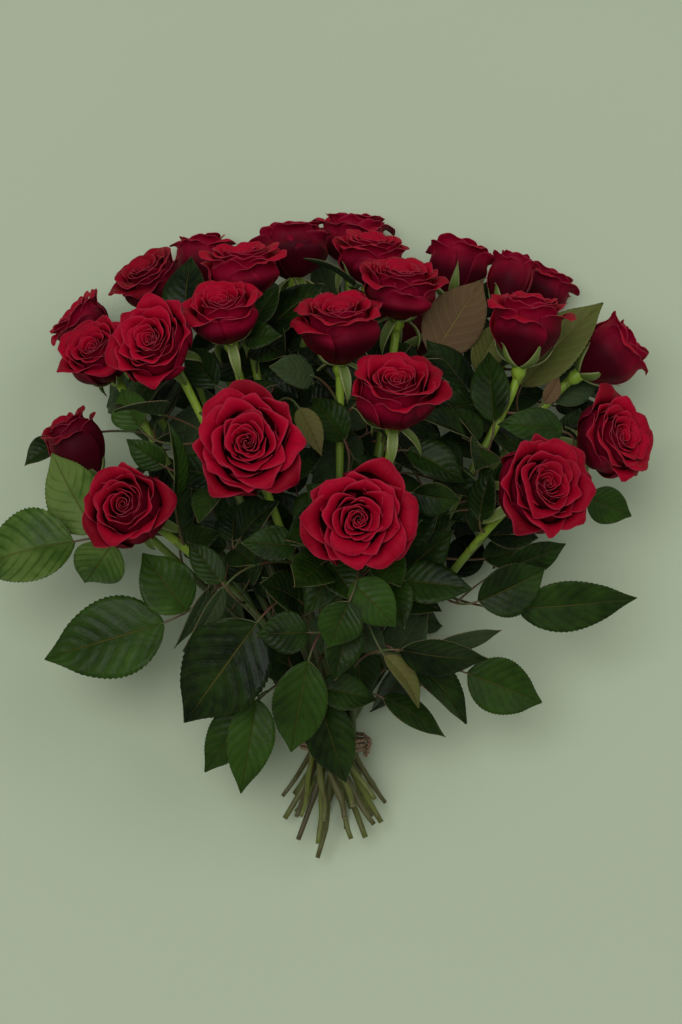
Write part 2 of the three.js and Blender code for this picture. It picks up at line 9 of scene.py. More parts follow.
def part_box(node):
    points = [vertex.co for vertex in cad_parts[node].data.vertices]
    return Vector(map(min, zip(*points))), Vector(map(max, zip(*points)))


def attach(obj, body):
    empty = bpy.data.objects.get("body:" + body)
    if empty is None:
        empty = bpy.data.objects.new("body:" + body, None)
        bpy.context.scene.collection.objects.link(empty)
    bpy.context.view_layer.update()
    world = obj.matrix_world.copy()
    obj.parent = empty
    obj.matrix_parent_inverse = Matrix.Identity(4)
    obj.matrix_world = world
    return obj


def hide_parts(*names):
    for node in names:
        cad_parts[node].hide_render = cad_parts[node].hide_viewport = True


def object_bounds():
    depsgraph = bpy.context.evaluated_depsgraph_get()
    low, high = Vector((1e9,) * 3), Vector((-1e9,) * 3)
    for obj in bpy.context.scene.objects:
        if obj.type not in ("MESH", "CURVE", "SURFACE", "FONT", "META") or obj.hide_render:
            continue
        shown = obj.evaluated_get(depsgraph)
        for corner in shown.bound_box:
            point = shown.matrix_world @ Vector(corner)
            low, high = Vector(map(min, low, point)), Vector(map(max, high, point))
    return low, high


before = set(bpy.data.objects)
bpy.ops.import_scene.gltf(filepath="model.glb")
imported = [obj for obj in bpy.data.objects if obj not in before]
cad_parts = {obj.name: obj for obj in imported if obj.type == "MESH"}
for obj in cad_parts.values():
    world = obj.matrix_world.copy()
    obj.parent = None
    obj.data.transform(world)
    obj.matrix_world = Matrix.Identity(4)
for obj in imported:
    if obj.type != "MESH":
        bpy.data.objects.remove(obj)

cad_low, cad_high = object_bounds()

# ---------------------------------------------------------------- the bunch, as its solids have it
TILT = math.radians(14.6)  # the bunch's rise from its stem ends to its blooms
GAP = 0.3  # air between two pieces that touch
STEM_R = 2.8  # of the solids, which are plainer than the stems here
TAIL, TAIL_SHORTER, TAIL_RAGGED = 84, 62, 9  # stem below the tie, less for its slope and by chance
SPIRAL = 31  # how far a stem sits to the side of the axis at the tie, for each unit of slope
SLOPE_AT_TIE = 0.68  # share of its whole slope that a stem has at the tie
STEM_AIR = 1.8 * GAP  # air between neighbouring stems at the tie
STEM_BOW = 0.4  # how far up its rise a stem keeps the way it has at the tie
NECK = 40  # straight neck under a bloom
CALYX_LONG = 12
BLADE = 0.75  # thickness of a leaf
PETIOLE_R = 1
# A leaf's stalk: how far it runs on under its blade, how far before it it bends, for its length, and the
# share of its length from which the side leaflets' stalks leave it.
STALK_INTO, STALK_BEND, STALK_FORK = 4, 0.4, 0.62
TIE_TURNS, TIE_PITCH, TIE_THICK, TIE_SIDES = 3, 3.2, 3, 16

# Each rose: its name, the middle of its bloom, its radius, how far it is open and where it faces.
ROSES = [
    ("front_centre", (17, 159, 125), 38, 1, (0, -0.05, 1)),
    ("front_left", (-55, 207, 118), 38, 1, (0, 0.1, 1)),
    ("front_right", (139, 179, 85), 34, 0.9, (0.4, 0.25, 0.88)),
    ("low_left", (-136, 166, 88), 30, 0.7, (-0.3, 0.25, 0.92)),
    ("mid_front", (42, 241, 100), 32, 0.7, (0.05, 0.72, 0.65)),
    ("centre", (5, 289, 55), 31, 0.7, (0, 0.9, 0.44)),
    ("mid_top", (48, 320, 15), 31, 0.9, (0.1, 0.9, 0.4)),
    ("left_mid", (-75, 300, 40), 26, 0.7, (-0.15, 0.8, 0.57)),
    ("left_top", (-64, 336, -8), 31, 0.9, (-0.05, 0.93, 0.35)),
    ("left_front", (-121, 276, 65), 30, 0.9, (-0.3, 0.3, 0.9)),
    ("left_side", (-167, 274, -3), 28, 0.7, (-0.35, 0.55, 0.7)),
    ("left_far", (-186, 300, -56), 27, 0.7, (-0.7, 0.65, 0.25)),
    ("left_back", (-134, 331, -48), 29, 0.8, (-0.4, 0.75, 0.45)),
    ("back_left", (-100, 356, -107), 26, 0.6, (-0.1, 0.95, 0)),
    ("top_left", (-31, 356, -62), 30, 0.8, (-0.1, 0.97, -0.2)),
    ("back_top", (14, 372, -108), 30, 0.8, (0.05, 0.98, 0.05)),
    ("top", (28, 348, -38), 29, 0.9, (0.1, 0.93, 0.3)),
    ("top_right", (92, 345, -78), 27, 0.6, (0.15, 0.95, -0.25)),
    ("right_mid", (135, 294, 30), 31, 0.5, (0.15, 0.95, 0.2)),
    ("right_bud", (130, 335, -45), 20, 0.2, (0.2, 0.97, -0.1)),
    ("back_right", (159, 331, -99), 26, 0.7, (0.45, 0.85, -0.1)),
    ("right_far", (202, 278, -20), 26, 0.4, (0.8, 0.55, 0.1)),
    ("right_side", (194, 213, 25), 32, 0.8, (0.65, 0.25, 0.7)),
    ("left_bud", (-182, 213, 10), 20, 0.1, (-0.45, 0.85, 0.25)),
    ("back_low", (53, 296, -85), 28, 0.6, (0.2, 0.5, -0.8)),
]

# What the looks change: how far down its neck a bloom sits, how far it is drawn in, as a share of its
# distance, and how much nearer the tie it is.
SEAT_LOWER, DRAWN_IN, SUNK = 5.5, 0.012, 2
# Blooms whose petals stand further open at the mouth, or less far, than their solids are.
PETALS_OPEN = {"right_mid": 0.74, "low_left": 0.55, "right_far": 0.55, "right_bud": 0.5, "left_bud": 0.42}
# Blooms whose petals reach further out, or less far, than their solids, as a share of their radius.
PETALS_FULLER = {
    "left_bud": 1.2, "left_mid": 1.12, "right_far": 1.1, "low_left": 1.08, "front_right": 1.08,
    "left_front": 1.05, "centre": 1.05, "right_mid": 0.96, "left_far": 0.95, "back_right": 0.95,
}
# How much lighter (over 0) or darker (under 0) than the others a bloom's petals are: partly each bloom's own
# tone, partly painted light and shade for how the light falls on it.
PETAL_TONE_AND_LIGHT = {
    "left_mid": 0.9, "left_front": 0.5, "left_top": 0.75, "right_far": 0.8, "back_left": 0.45,
    "back_top": 0.4, "top": 0.45, "top_right": 0.5, "back_right": 0.45, "right_bud": 0.3,
    "right_mid": 0.3, "low_left": -0.55, "left_back": -1, "front_right": -0.5, "left_bud": -1,
}

# Each leaf, as its leaflets: where the blade starts, its tip, its width and where its face points.
LEAVES = {
    "far_left": [
        ((-175, 141, 45), (-243, 124, 34), 54, (-0.1, 0.35, 1)),
        ((-162, 147, 36), (-195, 202, 20), 42, (-0.2, 0, 1)),
        ((-148, 140, 52), (-171, 111, 22), 36, (-0.2, -0.5, 1)),
    ],
    "left_large": [
        ((-114, 86, 66), (-196, 61, 58), 55, (0, 0.1, 1)),
        ((-99, 94, 66), (-129, 133, 62), 38, (0.1, 0, 1)),
    ],
    "left_tip": [((-192, 210, -2), (-217, 194, 8), 20, (-0.2, 0.5, 0.8))],
    "left_upper": [((-132, 218, 36), (-146, 246, 26), 27, (-0.3, 0, 1))],
    "left_inner": [((-115, 192, 40), (-140, 210, 46), 20, (0, -0.3, 1))],
    "left_edge_on": [((-106, 168, 62), (-109, 221, 70), 17, (0.85, 0, 0.6))],
    "left_twisted": [((-73, 114, 84), (-96, 142, 76), 20, (0.5, -0.5, 0.8))],
    "left_folded": [((-72, 111, 82), (-99, 68, 78), 18, (0.85, 0.2, 0.55))],
    "left_folded_back": [((-83, 110, 66), (-105, 68, 60), 18, (0.85, 0.2, 0.5))],
    "low_large": [((-50, 88, 86), (-99, 20, 70), 58, (-0.1, -0.1, 1))],
    "low_pair": [
        ((-54, 30, 54), (-88, -16, 44), 30, (-0.5, -0.2, 1)),
        ((-51, 35, 60), (-62, -29, 54), 32, (0.1, -0.1, 1)),
    ],
    "low_oval": [((-15, 82, 98), (-50, 81, 98), 28, (0, 0.2, 1))],
    "low_middle": [((-16, 63, 90), (-28, 0, 66), 36, (-0.1, -0.3, 1))],
    "under_front": [
        ((11, 103, 112), (-3, 72, 102), 29, (0, -0.1, 1)),
        ((13, 115, 104), (42, 86, 100), 31, (0.1, 0.2, 1)),
    ],
    "over_tie_side": [((-9, 43, 66), (30, 35, 60), 27, (0, 0.5, 1))],
    "over_tie": [((-9, 37, 58), (9, -24, 42), 33, (0, -0.25, 1))],
    "pale_hanging": [((34, 66, 82), (58, 30, 66), 17, (0.6, 0.4, 0.8))],
    "right_low_dark": [((34, 35, 44), (78, 7, 30), 21, (0, 0.55, 0.8))],
    "right_low_two_tone": [((44, 67, 66), (93, 17, 44), 26, (0.45, 0.5, 1))],
    "right_low_glossy": [
        ((45, 70, 84), (105, 62, 66), 29, (0, -0.5, 1)),
        ((91, 52, 52), (143, 31, 38), 38, (0.1, 0, 1)),
    ],
    "right_brown": [((72, 72, 52), (115, 80, 40), 19, (0, -0.7, 0.8))],
    "right_long": [((125, 96, 52), (208, 102, 38), 35, (0.1, -0.25, 1))],
    "right_inner": [
        ((98, 101, 62), (143, 123, 52), 36, (0.2, -0.2, 1)),
        ((119, 124, 46), (159, 139, 40), 24, (0, -0.4, 1)),
    ],
    "right_edge": [((174, 171, 36), (206, 158, 26), 26, (0.2, -0.2, 1))],
    "right_across": [((156, 216, 44), (112, 221, 52), 26, (0, 0.3, 1))],
    "right_brown_tip": [((146, 236, 20), (157, 255, 16), 12, (0.3, 0, 1))],
    "right_dark_glossy": [((111, 223, 20), (108, 273, 8), 27, (-0.2, 0, 1))],
    "right_olive": [((133, 250, -14), (192, 311, -24), 38, (-0.2, 0.2, 1))],
    "top_brown": [
        ((70, 270, -8), (107, 327, -30), 42, (-0.1, 0.1, 1)),
        ((101, 260, -14), (119, 296, -26), 24, (0.1, 0, 1)),
    ],
    "middle_glossy": [((53, 174, 84), (85, 169, 78), 24, (0, -0.4, 1))],
    "middle_olive": [((-22, 230, 74), (-7, 199, 84), 17, (0.3, 0, 1))],
    "middle_back": [((8, 210, 34), (-14, 240, 26), 27, (0, 0, 1))],
    "middle_low": [((-24, 139, 88), (-60, 141, 92), 24, (0, 0.2, 1))],
    "left_teal": [((-81, 248, 14), (-103, 277, 2), 25, (-0.2, 0, 1))],
    "right_middle": [((99, 156, 60), (105, 189, 70), 24, (-0.6, 0, 0.8))],
}
# The tone of a leaf's blades, 0 darkest green to 1 light green, where it isn't the usual one.
TONES = {
    "far_left": (0.78, 0.94, 0.76), "left_large": (0.46, 0.54), "left_upper": (0.6,),
    "left_inner": (0.34,), "low_pair": (0.4, 0.5), "low_large": (0.1,), "low_middle": (0.4,),
    "under_front": (0.36, 0.52), "right_low_glossy": (0.1, 0.42), "right_long": (0.3,),
    "right_edge": (0.4,), "left_edge_on": (0.32,), "right_across": (0.28,),
}
USUAL_TONE, INNER_TONES = 0.2, (0.1, 0.16, 0.2)
# Leaves that turn their underside to the top of the bunch: 0 is a grey green one, 1 a brown one.
UNDERSIDES = {
    "top_brown": (1, 0.4), "right_olive": (0.3,), "middle_olive": (0.5,), "pale_hanging": (0.45,),
    "right_brown": (0.1,), "right_brown_tip": (0.9,), "left_folded": (0.1,), "left_folded_back": (0.2,),
}
BROWN_FROM = 0.25
# The leaves inside the bunch, by the solids' rule: how many and at how many tries, how far up they
# stand, how far out they lean, and how large they are.
INNER = dict(leaves=6, tries=60, low=90, high=235, lean=(0.8, 0.5), forward=0.05, long=42, wide=27)
# How far the solids may have moved a leaf to hang it free, and where on a stem's rise a stalk may start.
SHIFTS = (0, 5, -5, 10, -10, 15, -15, 21, -21, 28, -28)
STALK_STARTS = (0.16, 0.24, 0.32, 0.4, 0.48, 0.56, 0.64, 0.72, 0.8)

CAMERA_AT = (5.6, 161, 1500)  # square over the bunch, at the distance that the photograph's scale gives
LONG_PIXELS, MM_PER_PIXEL = 1024, 0.7


# ---------------------------------------------------------------- small helpers
def vec(*a):
    return np.array(a[0] if len(a) == 1 else a, float)


def unit(a):
    return a / np.linalg.norm(a)


def units(rows):
    return rows / np.linalg.norm(rows, axis=1, keepdims=True)


def mix(a, b, t):
    return a + (b - a) * t


def smooth(low, high, t):
    s = np.clip((t - low) / (high - low), 0, 1)
    return s * s * (3 - 2 * s)


def chance(i, j=0):
    """A fixed number from 0 to 1 for each pair of counts."""
    number = math.sin(12.9898 * (i + 1) + 78.233 * (j + 1)) * 43758.5453
    return number - math.floor(number)


def wave(at, pace, luck):
    """A sine wave at these places, whose start luck, from 0 to 1, sets."""
    return np.sin(pace * at + 6 * luck)


def bezier(points, t):
    """The point or points at t on a Bezier curve of any degree."""
    rows = [np.asarray(p, float) for p in points]
    t = np.asarray(t, float)[..., None]
    while len(rows) > 1:
        rows = [a * (1 - t) + b * t for a, b in zip(rows, rows[1:])]
    return rows[0]


def lengths(path):
    """How far along its path (n, 3) each point lies."""
    return np.concatenate([[0], np.cumsum(np.linalg.norm(np.diff(path, axis=0), axis=1))])


def point_at(path, gone, place):
    """The point at a place on a path (n, 3) whose points lie at the places in gone."""
    return np.array([np.interp(place, gone, path[:, axis]) for axis in range(3)])


# ---------------------------------------------------------------- where the stems run
class Rose:
    """A rose: its bloom, whose base is the foot of its petals, and its stem."""

    def __init__(self, index, name, at, r, opened, faces):
        self.index, self.name, self.r, self.opened = index, name, r, opened
        self.petals_open = PETALS_OPEN.get(name, opened)
        self.petals_r = r * PETALS_FULLER.get(name, 1)
        self.high = r * (1.1 + 1.5 * (1 - opened) ** 1.5)
        self.axis = unit(vec(faces))
        self.base = vec(at) - self.axis * self.high / 2
        self.head = self.base - self.axis * CALYX_LONG
        self.sunk = vec(-DRAWN_IN * at[0], -SUNK, 0)
        self.seat = self.base - self.axis * SEAT_LOWER + self.sunk
        self.middle = self.base + self.axis * self.high / 2
        self.neck = self.base - self.axis * NECK
        self.slope = [self.neck[0] * SLOPE_AT_TIE / self.neck[1], self.neck[2] * SLOPE_AT_TIE / self.neck[1]]

    def lay_stem(self):
        """The cut end, the stem's place in the tie, and the curve of its rise from there to the bloom."""
        x, z = self.slope
        self.slot = vec(z * SPIRAL, 0, -x * SPIRAL)
        way = unit(vec(x, 1, z))
        tail = TAIL - TAIL_SHORTER * math.hypot(x, z) - TAIL_RAGGED * chance(self.index)
        self.cut = self.slot - way * tail
        rise = np.linalg.norm(self.neck - self.slot)
        self.rise = [self.slot, self.slot + way * STEM_BOW * rise, self.neck, self.head]

    def sides(self):
        """Two directions square to the bloom's axis."""
        lead = [0.2, 1, 0.1] if abs(self.axis[1]) < 0.9 else [1, 0.1, 0.2]
        side = unit(np.cross(lead, self.axis))
        return side, np.cross(self.axis, side)

    def around(self, angle):
        """The direction at an angle round the bloom's axis."""
        side, up = self.sides()
        return math.cos(angle) * side + math.sin(angle) * up

    def stand(self, grid):
        """A grid in the bloom's own frame, in the bunch's."""
        side, up = self.sides()
        return self.seat + grid[..., :1] * side + grid[..., 1:2] * up + grid[..., 2:] * self.axis


def draw_together(roses):
    """A spiral bunch: the stems' slopes are drawn in and pushed apart until they just touch at the tie."""
    reach = (2 * STEM_R + STEM_AIR) / SPIRAL
    rounds, last_draw, drawn_in = 1500, 1300, 0.997
    slopes = [rose.slope for rose in roses]
    for step in range(rounds):
        if step < last_draw:
            for slope in slopes:
                slope[0] *= drawn_in
                slope[1] *= drawn_in
        for i, a in enumerate(slopes):
            for b in slopes[:i]:
                x, z = a[0] - b[0], a[1] - b[1]
                if x * x + z * z > 4 * reach * reach:
                    continue
                bx, bz = a[0] + b[0], a[1] + b[1]
                size = math.sqrt(bx * bx + bz * bz + 4)
                across = (z * bx - x * bz) / size
                sx, sy, sz = z - across * bx / size, -across * 2 / size, -x - across * bz / size
                short = reach - math.sqrt(sx * sx + sy * sy + sz * sz)
                if short > 0:
                    push = short / 2 / math.sqrt(x * x + z * z)
                    a[0] += push * x
                    a[1] += push * z
                    b[0] -= push * x
                    b[1] -= push * z


roses = [Rose(i, *row) for i, row in enumerate(ROSES)]
draw_together(roses)
for rose in roses:
    rose.lay_stem()

bundle = max(SPIRAL * math.hypot(*rose.slope) for rose in roses)
tie_half = TIE_TURNS * TIE_PITCH / 2
tie_inner = (math.hypot(1, tie_half / SPIRAL) * (bundle + STEM_R) + GAP) / math.cos(math.pi / TIE_SIDES)
tie_low, tie_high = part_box("tie")
bunch_origin = np.array((tie_low + tie_high) / 2)
bunch_origin[0] = tie_low.x + (tie_inner + TIE_THICK) / 1000
TURN = np.array(
    [[1, 0, 0], [0, math.cos(TILT), -math.sin(TILT)], [0, math.sin(TILT), math.cos(TILT)]]
)
# Soft pieces keep this clear of the table, and are pressed up over this height, both in metres.
TABLE_CLEAR, TABLE_SOFT = 0.0004, 0.0015
UNPRESSED = 30  # from this many times that height nothing is pressed


def to_row(points):
    """Millimetres in the bunch's frame to metres in the row frame."""
    return np.asarray(points, float) @ TURN.T / 1000 + bunch_origin


def from_row(points):
    return (np.asarray(points, float) - bunch_origin) @ TURN * 1000


def off_table(points, clear=TABLE_CLEAR):
    """The points, pressed up where they would reach under the table, as soft petals and leaves are."""
    row = to_row(points)
    room = (row[..., 2] - clear) / TABLE_SOFT
    pressed = np.log1p(np.exp(np.minimum(room, UNPRESSED)))
    row[..., 2] = clear + TABLE_SOFT * np.where(room > UNPRESSED, room, pressed)
    return from_row(row)


# ---------------------------------------------------------------- mesh building
def read_over(t, v, own):
    """What a material reads over a grid: along it, across it, and a number of its own."""
    return np.stack(np.broadcast_arrays(t, v, own), axis=2)


def put_in_scene(name, data):
    made = bpy.data.objects.new(name, data)
    bpy.context.scene.collection.objects.link(made)
    return made


class Build:
    """Gathers grids and strips of faces, each with a material, and the numbers its material reads."""

    def __init__(self):
        self.points, self.faces, self.slots, self.flat, self.where = [], [], [], [], []
        self.count = 0

    def add(self, points, where):
        """Points and what the materials read there, both (n, 3). Returns the first one's number."""
        self.points.append(np.asarray(points, float))
        self.where.append(np.asarray(where, float))
        self.count += len(points)
        return self.count - len(points)

    def skin(self, start, faces, slot, flat=False):
        """Faces, as lists of point numbers counted from start."""
        self.faces += [[start + i for i in face] for face in faces]
        self.slots += [slot] * len(faces)
        self.flat += [flat] * len(faces)

    def sheet(self, grid, thick, where, slots):
        """A closed thin sheet round a grid (rows, columns, 3). Slots are those of its upper face, its
        lower face and its edge."""
        rows, columns = grid.shape[:2]
        normal = np.cross(np.gradient(grid, axis=0), np.gradient(grid, axis=1))
        size = np.linalg.norm(normal, axis=2, keepdims=True)
        half = normal / np.maximum(size, 1e-9) * (thick / 2)
        under = rows * columns
        cells = [(i * columns + j) for i in range(rows - 1) for j in range(columns - 1)]
        upper = [[k, k + columns, k + columns + 1, k + 1] for k in cells]
        lower = [[under + k, under + k + 1, under + k + columns + 1, under + k + columns] for k in cells]
        ring = list(range(columns)) + [i * columns + columns - 1 for i in range(1, rows)]
        ring += [(rows - 1) * columns + j for j in range(columns - 2, -1, -1)]
        ring += [i * columns for i in range(rows - 2, 0, -1)]
        edge = [[a, b, under + b, under + a] for a, b in zip(ring, ring[1:] + ring[:1])]
        both = np.concatenate([(grid + half).reshape(-1, 3), (grid - half).reshape(-1, 3)])
        start = self.add(both, np.tile(where.reshape(-1, 3), (2, 1)))
        self.skin(start, upper, slots[0])
        self.skin(start, lower, slots[1])
        self.skin(start, edge, slots[2], flat=True)

    def tube(self, path, radii, sides, slot, where=(0, 0, 0), cap_slots=None):
        """A closed tube along a path (n, 3) with a radius at each point; where along it, or all over."""
        path = np.asarray(path, float)
        ways = units(np.gradient(path, axis=0))
        side = unit(np.cross(ways[0], [0.31, 0.2, 0.93]))
        turn = np.linspace(0, 2 * math.pi, sides, endpoint=False)[:, None]
        rings = []
        for point, way, radius in zip(path, ways, radii):
            side = unit(side - way * side.dot(way))
            rings.append(point + radius * (np.cos(turn) * side + np.sin(turn) * np.cross(way, side)))
        quad = [(0, 0), (0, 1), (1, 1), (1, 0)]
        faces = [
            [(k + up) * sides + (i + on) % sides for up, on in quad]
            for k in range(len(path) - 1)
            for i in range(sides)
        ]
        read = np.broadcast_to(np.asarray(where, float), path.shape)
        start = self.add(np.concatenate(rings), np.repeat(read, sides, axis=0))
        self.skin(start, faces, slot)
        last = (len(path) - 1) * sides
        caps = [list(range(sides))[::-1], [last + i for i in range(sides)]]
        for face, cap in zip(caps, cap_slots or (slot, slot)):
            self.skin(start, [face], cap, flat=True)

    def piece(self, name, materials, slot, *nodes):
        """The gathered faces as one piece of the object, in place of these CAD nodes."""
        mesh = bpy.data.meshes.new(name)
        points = to_row(np.concatenate(self.points))
        mesh.from_pydata(points.tolist(), [], self.faces)
        for material in materials:
            mesh.materials.append(material)
        mesh.polygons.foreach_set("material_index", self.slots)
        mesh.polygons.foreach_set("use_smooth", [not flat for flat in self.flat])
        where = mesh.attributes.new("where", "FLOAT_VECTOR", "POINT")
        where.data.foreach_set("vector", np.concatenate(self.where).ravel())
        mesh.update()
        made = put_in_scene(name, mesh)
        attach(made, "root")
        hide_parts(*nodes)


# ---------------------------------------------------------------- materials
def rgb(red, green, blue):
    """An sRGB colour, 0 to 255, as the linear colour that a socket takes."""
    shares = [c / 255 for c in (red, green, blue)]
    return [s / 12.92 if s <= 0.04045 else ((s + 0.055) / 1.055) ** 2.4 for s in shares] + [1]


class Shader:
    """A material's nodes: each call adds one and returns its output."""

    def __init__(self, name):
        self.material = bpy.data.materials.new(name)
        self.material.use_nodes = True
        self.tree = self.material.node_tree
        self.shader = self.tree.nodes["Principled BSDF"]

    def node(self, kind, **settings):
        made = self.tree.nodes.new(kind)
        for name, value in settings.items():
            setattr(made, name, value)
        return made

    def put(self, socket, value):
        """Links or sets a socket; three numbers are an sRGB colour."""
        if isinstance(value, bpy.types.NodeSocket):
            self.tree.links.new(value, socket)
        else:
            socket.default_value = rgb(*value) if isinstance(value, tuple) else value

    def math(self, operation, *values, clamp=False):
        made = self.node("ShaderNodeMath", operation=operation, use_clamp=clamp)
        for socket, value in zip(made.inputs, values):
            self.put(socket, value)
        return made.outputs[0]

    def times(self, a, b):
        return self.math("MULTIPLY", a, b)

    def scaled(self, value, by, plus):
        return self.math("MULTIPLY_ADD", value, by, plus)

    def ramp(self, value, low, high, to_low=0.0, to_high=1.0):
        made = self.node("ShaderNodeMapRange", interpolation_type="SMOOTHSTEP")
        for socket, given in zip(made.inputs, (value, low, high, to_low, to_high)):
            self.put(socket, given)
        return made.outputs[0]

    def colour(self, share, a, b):
        made = self.node("ShaderNodeMix", data_type="RGBA")
        for slot, value in ((0, share), (6, a), (7, b)):
            self.put(made.inputs[slot], value)
        return made.outputs[2]

    def tint(self, base, colour, share, most):
        """Up to so much of a colour over the base."""
        return self.colour(self.times(share, most), base, colour)

    def where(self):
        return self.node("ShaderNodeAttribute", attribute_name="where").outputs["Vector"]

    def read(self):
        """The three numbers of where."""
        apart = self.node("ShaderNodeSeparateXYZ")
        self.put(apart.inputs[0], self.where())
        return apart.outputs

    def noise(self, scale, detail=2.0, vector=None):
        """Noise over the object, or over a vector. scale may be a number or one for each direction."""
        place = vector or self.node("ShaderNodeTexCoord").outputs["Object"]
        if isinstance(scale, tuple):
            bent = self.node("ShaderNodeMapping")
            self.put(bent.inputs[0], place)
            bent.inputs["Scale"].default_value = scale
            place, scale = bent.outputs[0], 1.0
        made = self.node("ShaderNodeTexNoise")
        self.put(made.inputs["Vector"], place)
        made.inputs["Scale"].default_value = scale
        made.inputs["Detail"].default_value = detail
        return made.outputs[0]

    def bump(self, height, distance, strength):
        made = self.node("ShaderNodeBump")
        self.put(made.inputs["Height"], height)
        made.inputs["Distance"].default_value = distance
        made.inputs["Strength"].default_value = strength
        self.put(self.shader.inputs["Normal"], made.outputs[0])

    def finish(self, **sockets):
        """The material, with these set on the shader's own sockets, whose names have spaces for _."""
        for name, value in sockets.items():
            self.put(self.shader.inputs[name.replace("_", " ")], value)
        return self.material


PETAL_VEINS = (2.5, 26, 9)  # how many along a petal, across it, and from one to the next
# A blade's side veins: how many pairs, and how they slant and bend towards the margin.
VEIN_PAIRS, VEIN_SLANT, VEIN_BEND = 8, 0.26, 1.25


def petal_material(name, deep, bright, rim, rim_sheen_share, velvet):
    """A petal's face: deeper at its base, a fine pale line at the rim that is a painted sheen highlight, fine
    veins along it.
    where is (along, across from -1 to 1, how much darker than others, by its own tone and by painted shade
    and light)."""
    s = Shader(name)
    along, _, darker_and_shaded = s.read()
    veins = s.noise(PETAL_VEINS, 3.0, s.where())
    mottled = s.scaled(s.noise(60), 0.5, -0.25)
    tone = s.math("ADD", s.ramp(along, 0.25, 0.95), s.scaled(darker_and_shaded, -0.36, mottled), clamp=True)
    base = s.colour(tone, deep, bright)
    base = s.tint(base, deep, s.ramp(veins, 0.45, 0.75), 0.35)
    # The pale line at the rim is a painted sheen highlight: the velvet's light on the thin rolled edges.
    base = s.tint(base, rim, s.ramp(along, 0.965, 1.0), rim_sheen_share)
    s.bump(veins, 0.0004, 0.5)
    sheen = dict(Sheen_Weight=velvet, Sheen_Roughness=0.35, Sheen_Tint=(204, 12, 44))
    return s.finish(Base_Color=base, Roughness=0.62, Specular_IOR_Level=0.12, **sheen)


def leaf_material(name, dark, light, pale, vein, rib, gloss, vein_share):
    """A blade's face. where is (along, across from -1 to 1, tone)."""
    s = Shader(name)
    along, across, tone = s.read()
    off = s.math("ABSOLUTE", across)
    # The side veins leave the midrib at a slant and bend towards the tip near the margin.
    slant = s.times(s.math("POWER", off, VEIN_BEND), VEIN_SLANT)
    phase = s.math("FRACT", s.scaled(s.math("SUBTRACT", along, slant), VEIN_PAIRS, 0.5))
    from_vein = s.math("ABSOLUTE", s.math("SUBTRACT", phase, 0.5))
    side_vein = s.ramp(from_vein, 0.0, 0.1, 1.0, 0.0)
    midrib = s.ramp(off, 0.0, 0.045, 1.0, 0.0)
    # Painted shade in the grooves at the veins, with the panels between them a little lighter, patches, and a
    # fine grain.
    groove_shade = s.times(s.ramp(from_vein, 0.02, 0.24, -0.11, 0.03), s.ramp(off, 0.0, 0.4))
    patch = s.noise(35, 3.0)
    mottled = s.math("ADD", s.scaled(patch, 0.8, -0.4), groove_shade)
    grain = s.scaled(s.noise(130, 3.0), 0.3, -0.15)
    level = s.math("ADD", tone, s.math("ADD", mottled, grain), clamp=True)
    base = s.colour(level, dark, light)
    base = s.colour(s.ramp(level, 0.6, 1.05), base, pale)
    base = s.tint(base, vein, side_vein, vein_share)
    base = s.tint(base, rib, midrib, 0.6)
    # The blade swells between its veins, and its skin is puckered.
    swell = s.scaled(s.noise(420), 0.15, s.times(from_vein, 0.4))
    pucker = s.scaled(s.noise(140), 0.5, swell)
    s.bump(s.math("SUBTRACT", pucker, s.times(midrib, 0.6)), 0.0015, 0.8)
    rough = s.scaled(patch, 0.2, gloss)
    return s.finish(Base_Color=base, Roughness=rough, Specular_IOR_Level=0.15)


def stem_material():
    """where is (0 at the cut end to 1 at the flower, 0, own tone)."""
    s = Shader("rose_stem")
    along, _, own = s.read()
    streak = s.noise((240, 40, 240), 3.0)
    # Lime under the flower is the stem's own colour; the darker olive below it, where the stem runs in under
    # the leaves, is partly its own colour and partly painted shade.
    base = s.colour(s.ramp(along, 0.62, 0.93), (74, 90, 38), (146, 178, 50))
    low = s.colour(own, (108, 120, 44), (90, 76, 54))
    base = s.colour(s.ramp(along, 0.25, 0.12), base, low)
    base = s.tint(base, (84, 60, 40), s.ramp(streak, 0.5, 0.66), 0.55)
    base = s.tint(base, (60, 74, 40), own, 0.25)
    s.bump(streak, 0.0006, 0.5)
    return s.finish(Base_Color=base, Roughness=0.48)


def sepal_material():
    """where is (along, across from -1 to 1, tone)."""
    s = Shader("sepal")
    along, across, tone = s.read()
    pale_rim = s.ramp(s.math("ABSOLUTE", across), 0.55, 1.0)
    base = s.colour(tone, (84, 108, 40), (124, 142, 66))
    base = s.tint(base, (172, 174, 122), pale_rim, 0.7)
    base = s.colour(s.ramp(along, 0.8, 1.0), base, (112, 88, 52))
    s.bump(s.noise(500), 0.0002, 0.5)
    return s.finish(Base_Color=base, Roughness=0.55)


def plain_material(name, a, b, scale, rough, depth, patchy=(0.35, 0.65), strength=0.6):
    """Two colours in patches, and a bump of the same patches."""
    s = Shader(name)
    patch = s.noise(scale, 4.0)
    s.bump(patch, depth, strength)
    return s.finish(Base_Color=s.colour(s.ramp(patch, *patchy), a, b), Roughness=rough)


